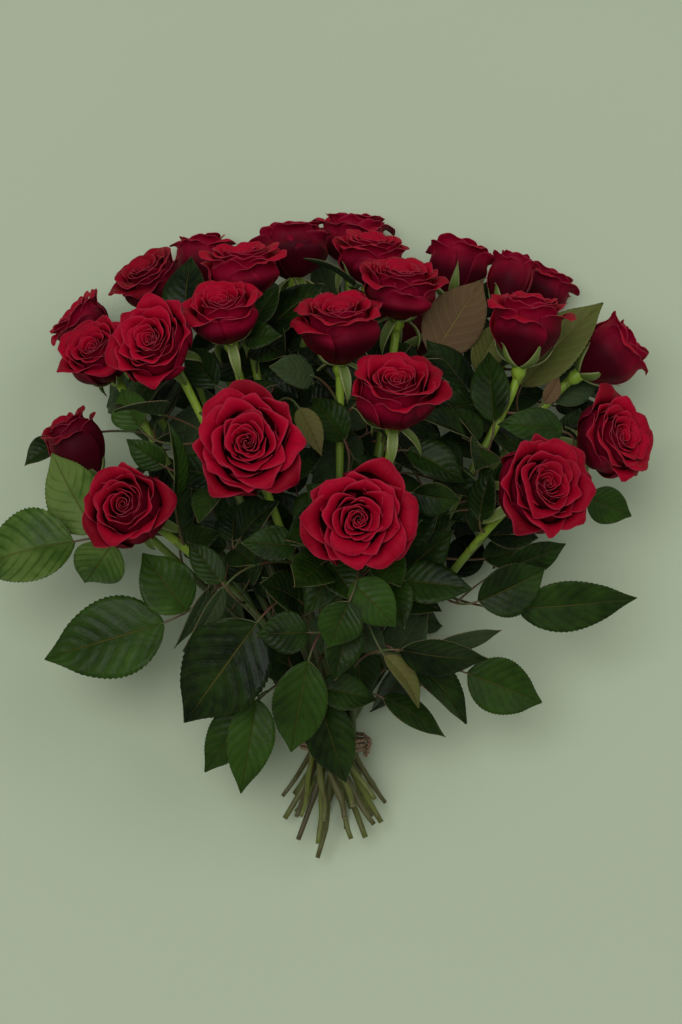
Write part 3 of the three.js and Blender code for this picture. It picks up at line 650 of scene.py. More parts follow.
PETAL = [
    # The third colour of each petal material, at the rim, is a painted sheen highlight.
    petal_material("petal_face", (98, 0, 14), (188, 0, 44), (200, 52, 84), 0.45, 0.1),
    petal_material("petal_back", (72, 0, 18), (156, 2, 46), (172, 50, 78), 0.35, 0.2),
    plain_material("petal_rim", (150, 20, 42), (176, 44, 66), 300, 0.6, 0.0001),
]
STEM = [
    stem_material(),
    plain_material("cut_end", (150, 146, 104), (96, 84, 54), 900, 0.8, 0.0004),
    plain_material("thorn", (118, 64, 46), (84, 80, 40), 200, 0.5, 0.0002),
    sepal_material(),
    plain_material("sepal_edge", (150, 156, 104), (120, 116, 70), 300, 0.6, 0.0001),
]
LEAF = [
    leaf_material(
        "leaf_upper", (12, 23, 7), (68, 104, 30), (108, 130, 64),
        (72, 96, 42), (104, 98, 48), gloss=0.3, vein_share=0.14,
    ),
    leaf_material(
        "leaf_under", (52, 68, 42), (88, 108, 66), (88, 108, 66),
        (108, 124, 82), (124, 124, 84), gloss=0.55, vein_share=0.2,
    ),
    plain_material("leaf_edge", (92, 104, 62), (112, 84, 58), 200, 0.6, 0.0001),
    leaf_material(
        "leaf_brown", (98, 114, 50), (106, 82, 56), (106, 82, 56),
        (140, 128, 84), (158, 146, 88), gloss=0.5, vein_share=0.22,
    ),
    plain_material("leaf_stalk", (74, 92, 44), (104, 62, 50), 60, 0.5, 0.0002),
]
TWINE = [plain_material("twine", (118, 92, 72), (184, 156, 128), 900, 0.9, 0.0005, (0.35, 0.7), 0.8)]
# The numbers of those materials in their lists.
FACE, BACK, RIM = 0, 1, 2
BARK, CUT, THORN, SEPAL, SEPAL_EDGE = range(5)
UPPER, UNDER, LEAF_EDGE, BROWN, STALK = range(5)


# ---------------------------------------------------------------- blooms
# Where a petal runs, from the innermost to the outermost, in a bud, a cup and a full bloom: distance out
# in radii and height in bloom heights of its belly and of its neck, where the rim starts to roll back;
# how long the rim is in radii; the way its edge points, in radians outwards from the axis; and half the
# angle that the petal spans.
OPENINGS = [0, 0.7, 1]
LAYERS = [0, 0.25, 0.5, 0.75, 1]
PROFILE = {
    "belly_out": ([0.1, 0.36, 0.6, 0.78, 0.9], [0.08, 0.3, 0.47, 0.6, 0.7], [0.05, 0.23, 0.42, 0.6, 0.74]),
    "belly_up": ([0.5, 0.5, 0.48, 0.42, 0.36], [0.4, 0.41, 0.4, 0.38, 0.36], [0.4, 0.42, 0.4, 0.36, 0.28]),
    "neck_out": ([0.05, 0.2, 0.34, 0.5, 0.68], [0.05, 0.29, 0.5, 0.68, 0.8], [0.04, 0.23, 0.44, 0.65, 0.83]),
    "neck_up": ([0.9, 0.96, 0.94, 0.88, 0.78], [0.83, 0.84, 0.82, 0.75, 0.64], [0.85, 0.85, 0.8, 0.68, 0.46]),
    "rim": ([0.05, 0.07, 0.12, 0.2, 0.3], [0.07, 0.17, 0.29, 0.38, 0.44], [0.09, 0.21, 0.35, 0.43, 0.43]),
    "rim_to": ([0, 0.1, 0.5, 0.9, 1.4], [0.15, 0.8, 1.3, 1.75, 2.1], [0.15, 0.95, 1.3, 1.5, 1.7]),
    "half_span": ([1.9, 1.5, 1.15, 1, 0.95], [1.9, 1.4, 1.1, 0.96, 0.9], [1.9, 1.35, 1.08, 0.95, 0.88]),
}
PETAL_COUNTS = [18, 29, 38]
PETAL_THICK, PETAL_ROWS, PETAL_COLUMNS = 0.3, 16, (11, 21)
PETALS_INWARD = 1.18  # over 1: more of the petals stand near the heart
GOLDEN = math.radians(137.5)  # from one petal to the next round the axis
# How far chance moves a petal's layer, its opening, its length and the roll of its rim.
LAYER_VARIES, OPEN_VARIES, LONG_VARIES, ROLL_VARIES = 0.4, 0.3, 0.16, (0.75, 0.4)
# The foot's distance out, in radii, in a closed and in an open bloom, and its share in the heart.
FOOT_OUT, FOOT_IN_HEART = (0.24, 0.16), 0.3
# How far the rim falls to its shoulders, at the heart and outside, and the small point in its middle.
SHOULDER, SHOULDER_POWER = (0.1, 0.24), 2.4
POINT_HIGH, POINT_ASIDE, POINT_WIDE = 0.07, 0.3, 0.16
# The share of a petal's length from which it rolls, how far on at most, and how much more its sides curl.
ROLL_FROM, ROLL_MOST, SIDES_CURL, TURN_LEAST = 0.74, 1.3, 0.6, 0.05
# The waves over a petal: their radians across it and chance's own number; their depths in radii; and how
# much further out one side stands, to tuck the other one in.
WAVES = ((2.6, 400), (6.1, 500), (5.2, 1100), (4.3, 600), (11, 1000))
RIPPLE, FINER, FOLD, SWAY, CRIMP, TUCKED = 0.034, 0.6, 0.026, 0.045, 0.012, 0.04
# How much darker a petal is: by chance, more so outside, and the last ones most, which is painted shade on
# the outermost petals that lie back in shadow.
DARKER_HEART, DARKER_OUTSIDE, LAST_PAINTED_SHADE, LAST_FROM = 0.4, 0.6, 0.9, 0.84


def petal_grid(rose, k, count):
    """The k-th petal, from the heart out, in the rose's own frame: (rows, columns, 3), and its where."""
    i = rose.index
    layer = (k + LAYER_VARIES * (chance(i, 100 + k) - 0.5)) / (count - 1)
    layer = min(max(layer, 0), 1) ** PETALS_INWARD
    opened = min(max(rose.petals_open + OPEN_VARIES * layer * (chance(i, 200 + k) - 0.5), 0), 1)
    at = {
        name: np.interp(opened, OPENINGS, [np.interp(layer, LAYERS, row) for row in rows])
        for name, rows in PROFILE.items()
    }
    t = np.linspace(0, 1, PETAL_ROWS)[:, None]
    v = np.linspace(-1, 1, round(mix(*PETAL_COLUMNS, layer)))[None, :]
    # The rim is highest in the middle, where it has a small point, and falls away to the shoulders.
    point = (v - POINT_ASIDE * chance(i, 800 + k)) / POINT_WIDE
    shoulder = mix(*SHOULDER, layer) * np.abs(v) ** SHOULDER_POWER
    reach = 1 - shoulder + POINT_HIGH * layer * np.exp(-(point**2))
    along = t * (reach * (1 + LONG_VARIES * (chance(i, 900 + k) - 0.5)))
    high, r = rose.high, rose.petals_r
    foot = np.array([mix(*FOOT_OUT, opened) * mix(FOOT_IN_HEART, 1, layer) * r, 0])
    belly = np.array([at["belly_out"] * r, at["belly_up"] * high])
    neck = np.array([at["neck_out"] * r, at["neck_up"] * high])
    bend = 2 * belly - (foot + neck) / 2
    s = np.clip(along / ROLL_FROM, 0, 1)[..., None]
    cup = (1 - s) ** 2 * foot + 2 * s * (1 - s) * bend + s**2 * neck
    lean = math.atan2(neck[0] - bend[0], neck[1] - bend[1])
    rolled = np.clip((along - ROLL_FROM) / (1 - ROLL_FROM), 0, ROLL_MOST)
    least, more = ROLL_VARIES
    turn = (at["rim_to"] - lean) * (least + more * chance(i, 300 + k)) + SIDES_CURL * layer * v**2
    turn = np.maximum(turn, TURN_LEAST)
    size = at["rim"] * r
    out = cup[..., 0] + size / turn * (np.cos(lean) - np.cos(lean + turn * rolled))
    up = cup[..., 1] + size / turn * (np.sin(lean + turn * rolled) - np.sin(lean))
    # Ripples towards the rim, one side tucked in under the next petal, folds and a crimped rim.
    ripple, finer, fold, sway, crimp = (wave(v, pace, chance(i, number + k)) for pace, number in WAVES)
    rippled = RIPPLE * mix(0.3, 1, smooth(0, 0.4, layer)) * (ripple + FINER * finer) * t**2
    out = out + r * (rippled + TUCKED * v * t + FOLD * layer * (fold * np.sin(math.pi * t)))
    up = up + r * SWAY * sway * t**3 * (0.3 + layer)
    crimp = crimp * np.clip(t - ROLL_FROM, 0, 1) / (1 - ROLL_FROM)
    up = up + r * CRIMP * (0.3 + layer) * crimp
    span = at["half_span"] * (0.78 + 0.22 * np.sin(math.pi * np.clip(along, 0, 1)))
    angle = k * GOLDEN + chance(i, 3) * 2 * math.pi + v * span
    grid = np.stack([out * np.cos(angle), out * np.sin(angle), up], axis=2)
    darker_and_shaded = chance(i, 700 + k) * (DARKER_HEART + DARKER_OUTSIDE * layer)
    # The last, outermost petals lie back in shadow: that shade is painted here.
    darker_and_shaded = darker_and_shaded + LAST_PAINTED_SHADE * smooth(LAST_FROM, 1, layer)
    # Each bloom's own lightness goes in too: partly its tone, partly painted light and shade.
    return grid, read_over(t, v, darker_and_shaded - PETAL_TONE_AND_LIGHT.get(rose.name, 0))


def make_bloom(rose):
    build = Build()
    count = round(np.interp(rose.petals_open, OPENINGS, PETAL_COUNTS))
    for k in range(count):
        grid, where = petal_grid(rose, k, count)
        build.sheet(off_table(rose.stand(grid)), PETAL_THICK, where, (FACE, BACK, RIM))
    build.piece(f"petals_{rose.name}", PETAL, "petals", f"bloom_{rose.name}")


# ---------------------------------------------------------------- stems
STEM_SIDES, HIP_SIDES, THORN_SIDES, SEPALS, THORNS = 12, 14, 6, 5, 4
# The stem's radius at shares of its length, and at its cut end, which is thinner, by chance.
RADIUS_AT, STEM_RADII, CUT_RADII = [0, 0.1, 0.2, 0.3, 0.8, 0.95, 1], [2.6, 2.5, 2.6, 2.7, 3, 3], (1.3, 2.1)
# Nodes that swell it: the least share where each is, how much more by chance, and chance's own number.
KNOTS, KNOT_THICK, KNOT_LONG = ((0.04, 0.1, 66), (0.25, 0.3, 60), (0.62, 0.15, 61)), 0.6, 0.014
# The receptacle, a small hip: its heights under the flower and its radii, the last a share of the bloom's.
HIP_UP, HIP_RADII, HIP_TOP = [-13, -10, -8, -5.5, -3, -1.6, -0.8], [2.9, 3.3, 4.3, 5.3, 5, 5.2], (0.24, 0.15)


def stem_path(rose):
    """Points from the cut end to the flower's base, and how far along each is, 0 to 1."""
    # How many points lie below and above the tie, and how far the tail spreads, bows and is crooked.
    below, above, splay, bow, crook = 12, 26, 9, 14, 1.3
    outward = unit(rose.cut * [1, 0, 1])
    side = unit(np.cross(outward, [0, 1, 0]))
    tail = []
    for down in np.linspace(1, 0, below + 1)[:-1]:
        off = outward * splay * down**1.6 + side * (chance(rose.index, 63) - 0.5) * bow * down**2
        bent = side * crook * wave(down, 9, chance(rose.index, 64)) * down
        tail.append(rose.cut + (rose.slot - rose.cut) * (1 - down) + off + bent)
    share = np.linspace(0, 1, above)
    rise = bezier(rose.rise, share) + smooth(0.5, 1, share)[:, None] * rose.sunk
    path = np.concatenate([off_table(tail, STEM_R / 1000), rise])
    gone = lengths(path)
    return path, gone / gone[-1]


def add_thorn(build, rose, n, path, gone):
    """A thorn, hooked towards the cut end."""
    i, sunk, hook, radii = rose.index, 0.8, 0.35, [1.5, 0.75, 0.08]
    first, spread = 0.3, 0.55
    share = first + spread * (n + chance(i, 70 + n)) / THORNS
    at = point_at(path, gone, share)
    way = unit(point_at(path, gone, share + 0.01) - at)
    side = unit(np.cross(way, [0.3, 0.1, 1]))
    turn = 6.28 * chance(i, 80 + n)
    out = math.cos(turn) * side + math.sin(turn) * np.cross(way, side)
    at = at + out * 2.2
    long = 3 + 2 * chance(i, 90 + n)
    bend = at + out * long * 0.4 - way * long * 0.08
    build.tube([at - out * sunk, bend, at + out * long - way * long * hook], radii, THORN_SIDES, THORN)


def add_sepal(build, rose, k):
    """A narrow blade from under the petals, along the cup of a bud or curled back from an open bloom."""
    i, rows, columns, thick, wide, hollow = rose.index, 12, 5, 0.5, 3.6, 0.35
    out = rose.around(2 * math.pi * k / SEPALS + chance(i, 4) * 2 * math.pi)
    long = (0.62 * rose.r + 9) * (0.85 + 0.35 * chance(i, 30 + k))
    t = np.linspace(0, 1, rows)
    # Each lean is an angle over the way out: a fallen sepal's, or one that follows the cup of petals.
    if chance(i, 40 + k) < smooth(0.35, 0.95, rose.opened):
        lean = mix(-0.5, mix(-1.3, -2.2, chance(i, 45 + k)), t**1.2)
    else:
        cup = math.atan2(0.4 * rose.high, 0.75 * rose.r) - 0.34
        lean = mix(cup, 1.52, smooth(0, 0.9, t)) - mix(0.1, 1.8, chance(i, 45 + k)) * t**5
    steps = np.stack([np.cos(lean), np.sin(lean)], axis=1) * long / (rows - 1)
    run = np.concatenate([[[0, 0]], np.cumsum(steps[:-1], axis=0)])
    foot = rose.seat + out * mix(0.2, 0.14, rose.opened) * rose.r - rose.axis * 1.6
    middle = foot + run[:, :1] * out + run[:, 1:] * rose.axis
    half = (wide * np.sin(math.pi * np.clip(0.3 + 0.7 * t, 0, 1)) ** 1.3 + 0.12)[:, None, None]
    v = np.linspace(-1, 1, columns)
    normal = -np.sin(lean)[:, None] * out + np.cos(lean)[:, None] * rose.axis
    grid = middle[:, None] + v[None, :, None] * half * np.cross(rose.axis, out)
    grid = grid + (np.abs(v) ** 1.5)[None, :, None] * (half * hollow) * normal[:, None]
    where = read_over(t[:, None], v, 0.3 + 0.5 * chance(i, 50 + k))
    build.sheet(off_table(grid), thick, where, (SEPAL, SEPAL, SEPAL_EDGE))


def make_stem(rose):
    build = Build()
    path, gone = stem_path(rose)
    i = rose.index
    knots = [least + more * chance(i, number) for least, more, number in KNOTS]
    swell = sum(KNOT_THICK * np.exp(-(((gone - knot) / KNOT_LONG) ** 2)) for knot in knots)
    thin = mix(*CUT_RADII, chance(i, 65))
    thick = np.interp(gone, RADIUS_AT, [thin, mix(thin, STEM_RADII[0], 0.5)] + STEM_RADII[1:]) + swell
    where = np.stack([gone, 0 * gone, 0 * gone + chance(i, 62)], axis=1)
    build.tube(path, thick, STEM_SIDES, BARK, where, cap_slots=(CUT, BARK))
    hips = rose.seat + vec(HIP_UP)[:, None] * rose.axis
    build.tube(hips, HIP_RADII + [mix(*HIP_TOP, rose.opened) * rose.r], HIP_SIDES, BARK, (0.9, 0, 0.2))
    for k in range(SEPALS):
        add_sepal(build, rose, k)
    for n in range(THORNS):
        add_thorn(build, rose, n, path, gone)
    build.piece(f"stem_{rose.name}", STEM, "leaves_and_stems", f"leafy_stem_{rose.name}")


# ---------------------------------------------------------------- leaves
# How finely a blade is made: its teeth, and where its columns run from margin to midrib.
FINE = (23, [1, 0.84, 0.66, 0.47, 0.28, 0.08])
COARSE = (17, [1, 0.72, 0.4, 0.09])
# Where a tooth's notch and point are, how far it sticks out, and over which share of the blade it grows.
NOTCH, TOOTH, SAW, SAW_GROWS = 0.15, 0.92, 0.046, (0.02, 0.12)
# The least and the most that a blade is folded, arched (both as its solid is) and twisted; its droop.
FOLDS, ARCHES, TWISTS, DROOP = (0.1, 0.4), (0.02, 0.1), (-0.2, 0.2), 0.06
# How deep its waves, its midrib's groove (in mm, and how wide) and the swells between its veins are.
LEAF_WAVE, GROOVE, GROOVE_WIDE, QUILT, LEAF_THICK = 0.03, 0.35, 0.06, 0.007, 0.5
STALK_POINTS, STALK_SIDES, SIDE_STALK, STALK_AT, STALK_RADII = 12, 7, 0.8, [0, 0.1, 1], [1.5, 0.95, 0.7]


class Blade:
    """A leaflet, as its solid has it: a plate folded along its midrib and arched along its length."""

    def __init__(self, base, tip, wide, faces, shift=0.0, fine=True):
        self.base = vec(base) + [0, 0, shift]
        self.tip = vec(tip) + [0, 0, shift]
        self.wide = wide
        self.long = np.linalg.norm(self.tip - self.base)
        self.along = (self.tip - self.base) / self.long
        self.normal = unit(vec(faces) - self.along * vec(faces).dot(self.along))
        self.across = np.cross(self.along, self.normal)
        spread = chance(base[0], base[1])
        self.seed = base[0] * 3 + base[1]
        self.fold = mix(*FOLDS, spread)
        self.arch = mix(*ARCHES, spread)
        self.twist = mix(*TWISTS, chance(self.seed, 2))
        self.droop = DROOP * chance(self.seed, 3)
        self.teeth, columns = FINE if fine else COARSE
        teeth = [[(k + NOTCH) / self.teeth, (k + TOOTH) / self.teeth] for k in range(self.teeth)]
        self.rows = np.concatenate([[0], *teeth, [1]])
        self.columns = np.array([-c for c in columns] + [0] + columns[::-1])

    def grid(self):
        t = self.rows[:, None]
        v = self.columns[None, :]
        # An oval, widest below its middle, that runs out in a narrower tip.
        half = 0.5 * np.sin(math.pi * np.clip(t, 1e-6, 1) ** 0.72) ** 0.85 * (1 - 0.3 * smooth(0.72, 1, t))
        saw = 1 + SAW * ((t * self.teeth) % 1 - 0.5) * (np.abs(v) > 0.99) * smooth(*SAW_GROWS, t)
        out = v * (half + 0.004) * saw * self.wide
        waves = LEAF_WAVE * self.wide * wave(t, 7, chance(self.seed, 1)) * np.abs(v) ** 2 * np.sign(v)
        groove = -GROOVE * np.exp(-((v / GROOVE_WIDE) ** 2))
        quilt = np.cos(2 * math.pi * VEIN_PAIRS * (t - VEIN_SLANT * np.abs(v) ** VEIN_BEND))
        quilt = -QUILT * self.wide * quilt * np.sin(math.pi * np.clip(np.abs(v), 0, 1)) * np.sin(math.pi * t)
        up = 4 * self.arch * self.long * t * (1 - t) + self.fold * np.abs(out) + waves + groove + quilt
        up = up + self.twist * out * t - self.droop * self.long * smooth(0.4, 1, t)
        place = self.base + t[..., None] * self.long * self.along
        return place + out[..., None] * self.across + up[..., None] * self.normal


def stalk_path(start, blade):
    bend = blade.base - blade.along * STALK_BEND * np.linalg.norm(start - blade.base)
    return [start, bend, blade.base + blade.along * STALK_INTO]


def add_stalk(build, path, thick=1.0):
    t = np.linspace(0, 1, STALK_POINTS)
    build.tube(bezier(path, t), np.interp(t, STALK_AT, STALK_RADII) * thick, STALK_SIDES, STALK)


def add_leaf(build, blades, root, tones, undersides):
    """A leaf's stalks and blades. Of a leaf that is turned over, undersides gives the tones instead."""
    main = stalk_path(root, blades[0])
    add_stalk(build, main)
    fork = bezier(main, STALK_FORK)
    for blade in blades[1:]:
        add_stalk(build, stalk_path(fork, blade), SIDE_STALK)
    given = undersides or tones
    for n, blade in enumerate(blades):
        tone = given[min(n, len(given) - 1)]
        slots = (UPPER, UNDER, LEAF_EDGE)
        if undersides:
            slots = (BROWN if tone > BROWN_FROM else UNDER, UPPER, LEAF_EDGE)
        where = read_over(blade.rows[:, None], blade.columns, tone)
        # A sheet's upper face lies to the left of its rows, so the columns run from right to left here.
        build.sheet(off_table(blade.grid()[:, ::-1]), LEAF_THICK, where[:, ::-1], slots)


# Which stem carries a leaf, and how far it was moved to hang free, is read off the solids: a blade's tip
# and the middle of its stalk are points of one of them, this near in millimetres.
SAME_POINT, STALK_STEPS, STALK_CORNERS = 0.05, 60, 3


def points_of(rose):
    """The corners of the rose's solid, as a tree to find the nearest ones in."""
    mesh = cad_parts[f"leafy_stem_{rose.name}"].data
    found = np.zeros(len(mesh.vertices) * 3)
    mesh.vertices.foreach_get("co", found)
    tree = kdtree.KDTree(len(mesh.vertices))
    for n, point in enumerate(from_row(found.reshape(-1, 3))):
        tree.insert(point, n)
    tree.balance()
    return tree


solid_points = {rose.name: points_of(rose) for rose in roses}


def carrier(blade):
    """The rose whose solid has this blade's tip, or None."""
    corner = blade.tip + blade.normal * BLADE / 2
    for rose in roses:
        if solid_points[rose.name].find(corner)[2] < SAME_POINT:
            return rose
    return None


def root_of(rose, blade):
    """Where on its stem this blade's stalk starts: there, its middle lies nearest to the solid's stalk."""
    best, root = math.inf, None
    for share in STALK_STARTS:
        start = bezier(rose.rise, share)
        path = bezier(stalk_path(start, blade), np.linspace(0, 1, STALK_STEPS))
        gone = lengths(path)
        near = solid_points[rose.name].find_n(point_at(path, gone, gone[-1] / 2), STALK_CORNERS)
        off = max(abs(miss - PETIOLE_R) for _, _, miss in near)
        if off < best:
            best, root = off, start
    return root


def whole(point):
    return tuple(math.floor(c + 0.5) for c in point)


def inner_leaf(n, attempt):
    """The leaflets of an inner leaf at one of its tries."""
    share = math.sqrt((n + 0.6) / INNER["leaves"])
    angle = 2.4 * n + 0.5 * (chance(n, attempt) - 0.5)
    lean = INNER["lean"]
    outward = vec(lean[0] * share * math.cos(angle), 0, lean[1] * share * math.sin(angle) + INNER["forward"])
    at = vec(outward[0], 1, outward[2]) * mix(INNER["low"], INNER["high"], chance(attempt, n))
    faces = unit(outward)
    faces = unit(vec(faces[0], 0.9, faces[2]))
    along = unit(vec(0, 1, 0) - faces * faces[1])
    turn = 3 * (chance(n, attempt + 50) - 0.5)
    along = along * math.cos(turn) + np.cross(faces, along) * math.sin(turn)
    side = np.cross(along, faces)
    long, wide = INNER["long"], INNER["wide"]
    blades = [(whole(at), whole(at + along * long), wide, tuple(faces))]
    for hand in (1, -1):
        start = at - along * 10 + side * 4 * hand
        end = start + along * 0.35 * long + side * 0.75 * long * hand
        blades.append((whole(start), whole(end), 0.9 * wide, tuple(faces)))
    return blades


def hung(rows):
    """The rose that carries this leaf, its blades where the solid has them and its root, or None."""
    for shift in SHIFTS:
        blades = [Blade(*row, shift) for row in rows]
        rose = carrier(blades[0])
        if rose:
            return rose, blades, root_of(rose, blades[0])
    return None


leaves_of = {rose.name: [] for rose in roses}
for name, rows in LEAVES.items():
    found = hung(rows)
    if found:
        rose, *leaf = found
        leaves_of[rose.name].append((*leaf, TONES.get(name, (USUAL_TONE,)), UNDERSIDES.get(name)))
for n in range(INNER["leaves"]):
    found = next(filter(None, (hung(inner_leaf(n, attempt)) for attempt in range(INNER["tries"]))), None)
    if found:
        rose, *leaf = found
        leaves_of[rose.name].append((*leaf, INNER_TONES, None))


# ---------------------------------------------------------------- leaves that only the looks have
# The small cells of the bunch that are taken or free: their lowest corner, number and size; and the cells
# of the camera's view that are covered or not.
ROOM_LOW, ROOM_CELLS, CELL = (-260, -120, -190), (174, 174, 134), 3
SEEN_LOW, SEEN_CELLS, SEEN_CELL = (-300, -150), (150, 150), 4
# The outline that the photograph shows the foliage to fill: along the bunch, and its left and right side.
FILLED_UP = [0, 20, 34, 74, 100, 112, 128, 169, 189, 223, 271, 311, 345]
FILLED_LEFT = [-2, -22, -48, -90, -94, -97, -104, -124, -140, -158, -168, -145, -95]
FILLED_RIGHT = [2, 29, 66, 74, 76, 110, 132, 154, 174, 194, 194, 165, 110]
# Its share of the camera's distance, and how far new leaves keep, in metres, from the table and the top.
FILLED_SEEN, OVER_TABLE, UNDER_TOP = 0.967, 0.002, 0.01
GAP_LEAVES, FREE_LEAVES, EXTRA_TRIES = 220, 60, 60
# Stems that the photograph shows bare under their bloom: the share of their rise from which nothing more
# hangs over them. The air kept free there runs this share of the way to the camera, up to this height.
BARE_FROM = {
    "right_mid": 0.68, "front_right": 0.66, "mid_front": 0.72, "centre": 0.72, "left_mid": 0.72,
    "right_far": 0.75, "mid_top": 0.85,
}
BARE_NEARER, BARE_UP_TO = 0.075, 190
BLOOM_AIR, BLOOM_AIR_UP = 2, 4  # round a bloom's middle, square to its axis and along it
ROOTS = np.linspace(0.15, 0.9, 40)  # where on a stem's rise a leaf may start that hides a gap
# Such a leaf's distance from there and least stalk, its depth by chance and the length of its blade; the
# same for a leaf anywhere: its start, stalk and length; and how wide blades are for their length.
GAP_NEAR, GAP_STALK, GAP_DEEP, GAP_LONG = (18, 62), 10, 50, (38, 56)
FREE_FROM, FREE_STALK, FREE_LONG, WIDE_SHARE = (0.2, 0.86), (18, 45), (40, 58), (0.56, 0.72)
# The side leaflets: how far behind the end one's foot and how far off, their way on, across and outwards,
# their length and their width, as shares of the end one's; and how their tones differ.
SIDE_BACK, SIDE_OFF, SIDE_WAY, SIDE_LONG, SIDE_WIDE = 9, 3, (0.4, 0.8, 0.12), 0.82, 0.85
TONE_STEPS = (0, 0.08, -0.05)
TONE_VARIES, PAINTED_LIGHT_HIGH, PAINTED_LIGHT_OVER = 0.2, 0.08, 40  # a leaf over that height is painted lighter, as light that falls on the top of the bunch
TURNED, TURNED_TONE = 0.1, 0.24  # the share of leaves that turn their underside up, and its tone at most


class Room:
    """Which small cells of the bunch are taken, to hang a leaf where nothing else is."""

    def __init__(self):
        self.taken = np.zeros(ROOM_CELLS, bool)

    def cells(self, points):
        return np.floor((np.asarray(points).reshape(-1, 3) - vec(ROOM_LOW)) / CELL).astype(int)

    def take(self, points):
        """Marks these points' cells and their neighbours."""
        cells = self.cells(points)
        for step in itertools.product((-1, 0, 1), repeat=3):
            self.taken[tuple((cells + step).T)] = True

    def free(self, points):
        return not self.taken[tuple(self.cells(points).T)].any()


room = Room()
covered = np.zeros(SEEN_CELLS, bool)


def along_rays(side, up, by):
    """A place across and along the bunch, moved along the camera's rays."""
    return CAMERA_AT[0] + (side - CAMERA_AT[0]) * by, CAMERA_AT[1] + (up - CAMERA_AT[1]) * by


def seen_at(points):
    """Where the camera sees these points: across and along the bunch, at a middle height over the table."""
    return along_rays(points[..., 0], points[..., 1], FILLED_SEEN / (1 - points[..., 2] / CAMERA_AT[2]))


def cover(points):
    """Marks the cells where the camera sees these points as covered."""
    cells = (np.floor((v.ravel() - low) / SEEN_CELL).astype(int) for v, low in zip(seen_at(points), SEEN_LOW))
    covered[tuple(cells)] = True


def occupy(blade):
    """Marks what a blade takes up, in the bunch and in the camera's view."""
    grid = blade.grid()
    room.take(grid)
    cover(grid)


def in_outline(side, up):
    """Whether the photograph shows foliage here."""
    left, right = np.interp(up, FILLED_UP, FILLED_LEFT), np.interp(up, FILLED_UP, FILLED_RIGHT)
    return (side > left) & (side < right) & (up > FILLED_UP[0]) & (up < FILLED_UP[-1])


def fits(points):
    """Whether these points lie inside the foliage's outline, over the table and under the front blooms."""
    height = to_row(points)[..., 2]
    inside = in_outline(*seen_at(points))
    return bool(np.all(inside & (height > OVER_TABLE) & (height < cad_high.z - UNDER_TOP)))


def clear_of_blooms(points):
    points = points.reshape(-1, 3)
    for rose in roses:
        off = points - rose.middle
        up = off @ rose.axis
        out = np.linalg.norm(off - up[:, None] * rose.axis, axis=1)
        if np.any((out / (rose.r + BLOOM_AIR)) ** 2 + (up / (rose.high / 2 + BLOOM_AIR_UP)) ** 2 < 1):
            return False
    return True


def toss(n, attempt, count):
    return [chance(1000 + n, 20 * attempt + k) for k in range(count)]


def outward_from(start):
    """The way out of the bunch at a place on a stem, and shorter near the bunch's middle."""
    out = vec(start[0], 0, start[2] + 25)
    return out / max(np.linalg.norm(out), 30)


def three_blades(at, along, faces, long, wide_share):
    """A terminal leaflet with one on each side of its stalk, or None where it has no room."""
    spine = at + along * np.linspace(0, long, 9)[:, None]
    if not (fits(spine) and room.free(spine) and clear_of_blooms(spine)):
        return None
    wide = long * mix(*WIDE_SHARE, wide_share)
    blades = [Blade(at, at + along * long, wide, faces, fine=False)]
    side = unit(np.cross(along, faces))
    on, across, outwards = SIDE_WAY
    for hand in (1, -1):
        foot = at - along * SIDE_BACK + side * SIDE_OFF * hand
        tip = foot + (on * along + across * hand * side + outwards * hand * unit(faces)) * long * SIDE_LONG
        blades.append(Blade(foot, tip, wide * SIDE_WIDE, faces, fine=False))
    return blades


def leaf_anywhere(n, attempt):
    """One more leaf on any stem: its rose, its root and its blades, which are None without room."""
    t = toss(n, attempt, 12)
    rose = roses[int(t[0] * len(roses))]
    share = mix(*FREE_FROM, t[1])
    start = bezier(rose.rise, share)
    way = unit(bezier(rose.rise, min(share + 0.02, 1)) - start)
    outward = outward_from(start)
    lead = unit(0.7 * outward + 0.45 * way + 0.9 * (2 * vec(t[2:5]) - 1))
    at = start + lead * mix(*FREE_STALK, t[5])
    along = unit(lead + vec(0, -0.35, 0) + 0.35 * (2 * vec(t[6:9]) - 1))
    faces = unit(outward + vec(0, 0.5, 0.35) + 0.5 * (vec(t[9:12]) - 0.5))
    return rose, start, three_blades(at, along, faces, mix(*FREE_LONG, t[9]), t[10])


def leaf_over_gap(n, attempt, gaps):
    """A leaf whose middle hides a cell where the table still shows through, in the same way."""
    t = toss(n, attempt, 10)
    cell = gaps[int(t[0] * len(gaps))]
    side, up = cell_sides[cell[0]], cell_ups[cell[1]]
    off = np.hypot(rise_points[:, 0] - side, rise_points[:, 1] - up)
    near = np.flatnonzero((off > GAP_NEAR[0]) & (off < GAP_NEAR[1]))
    if len(near) == 0:
        return None, None, None
    pick = near[int(t[1] * len(near))]
    start = rise_points[pick]
    z = start[2] + GAP_DEEP * (t[2] - 0.5)
    middle = vec(*along_rays(side, up, (1 - z / CAMERA_AT[2]) / FILLED_SEEN), z)
    along = unit(unit(middle - start) + 0.5 * (vec(t[3:6]) - (0.5, 0.7, 0.5)))
    long = mix(*GAP_LONG, t[6])
    at = middle - along * long * 0.5
    faces = unit(0.5 * outward_from(start) + vec(0, 0.4, 0.6) + 0.5 * (vec(t[7:10]) - 0.5))
    if np.linalg.norm(at - start) < GAP_STALK:
        return None, None, None
    return roses[pick // len(ROOTS)], start, three_blades(at, along, faces, long, t[8])


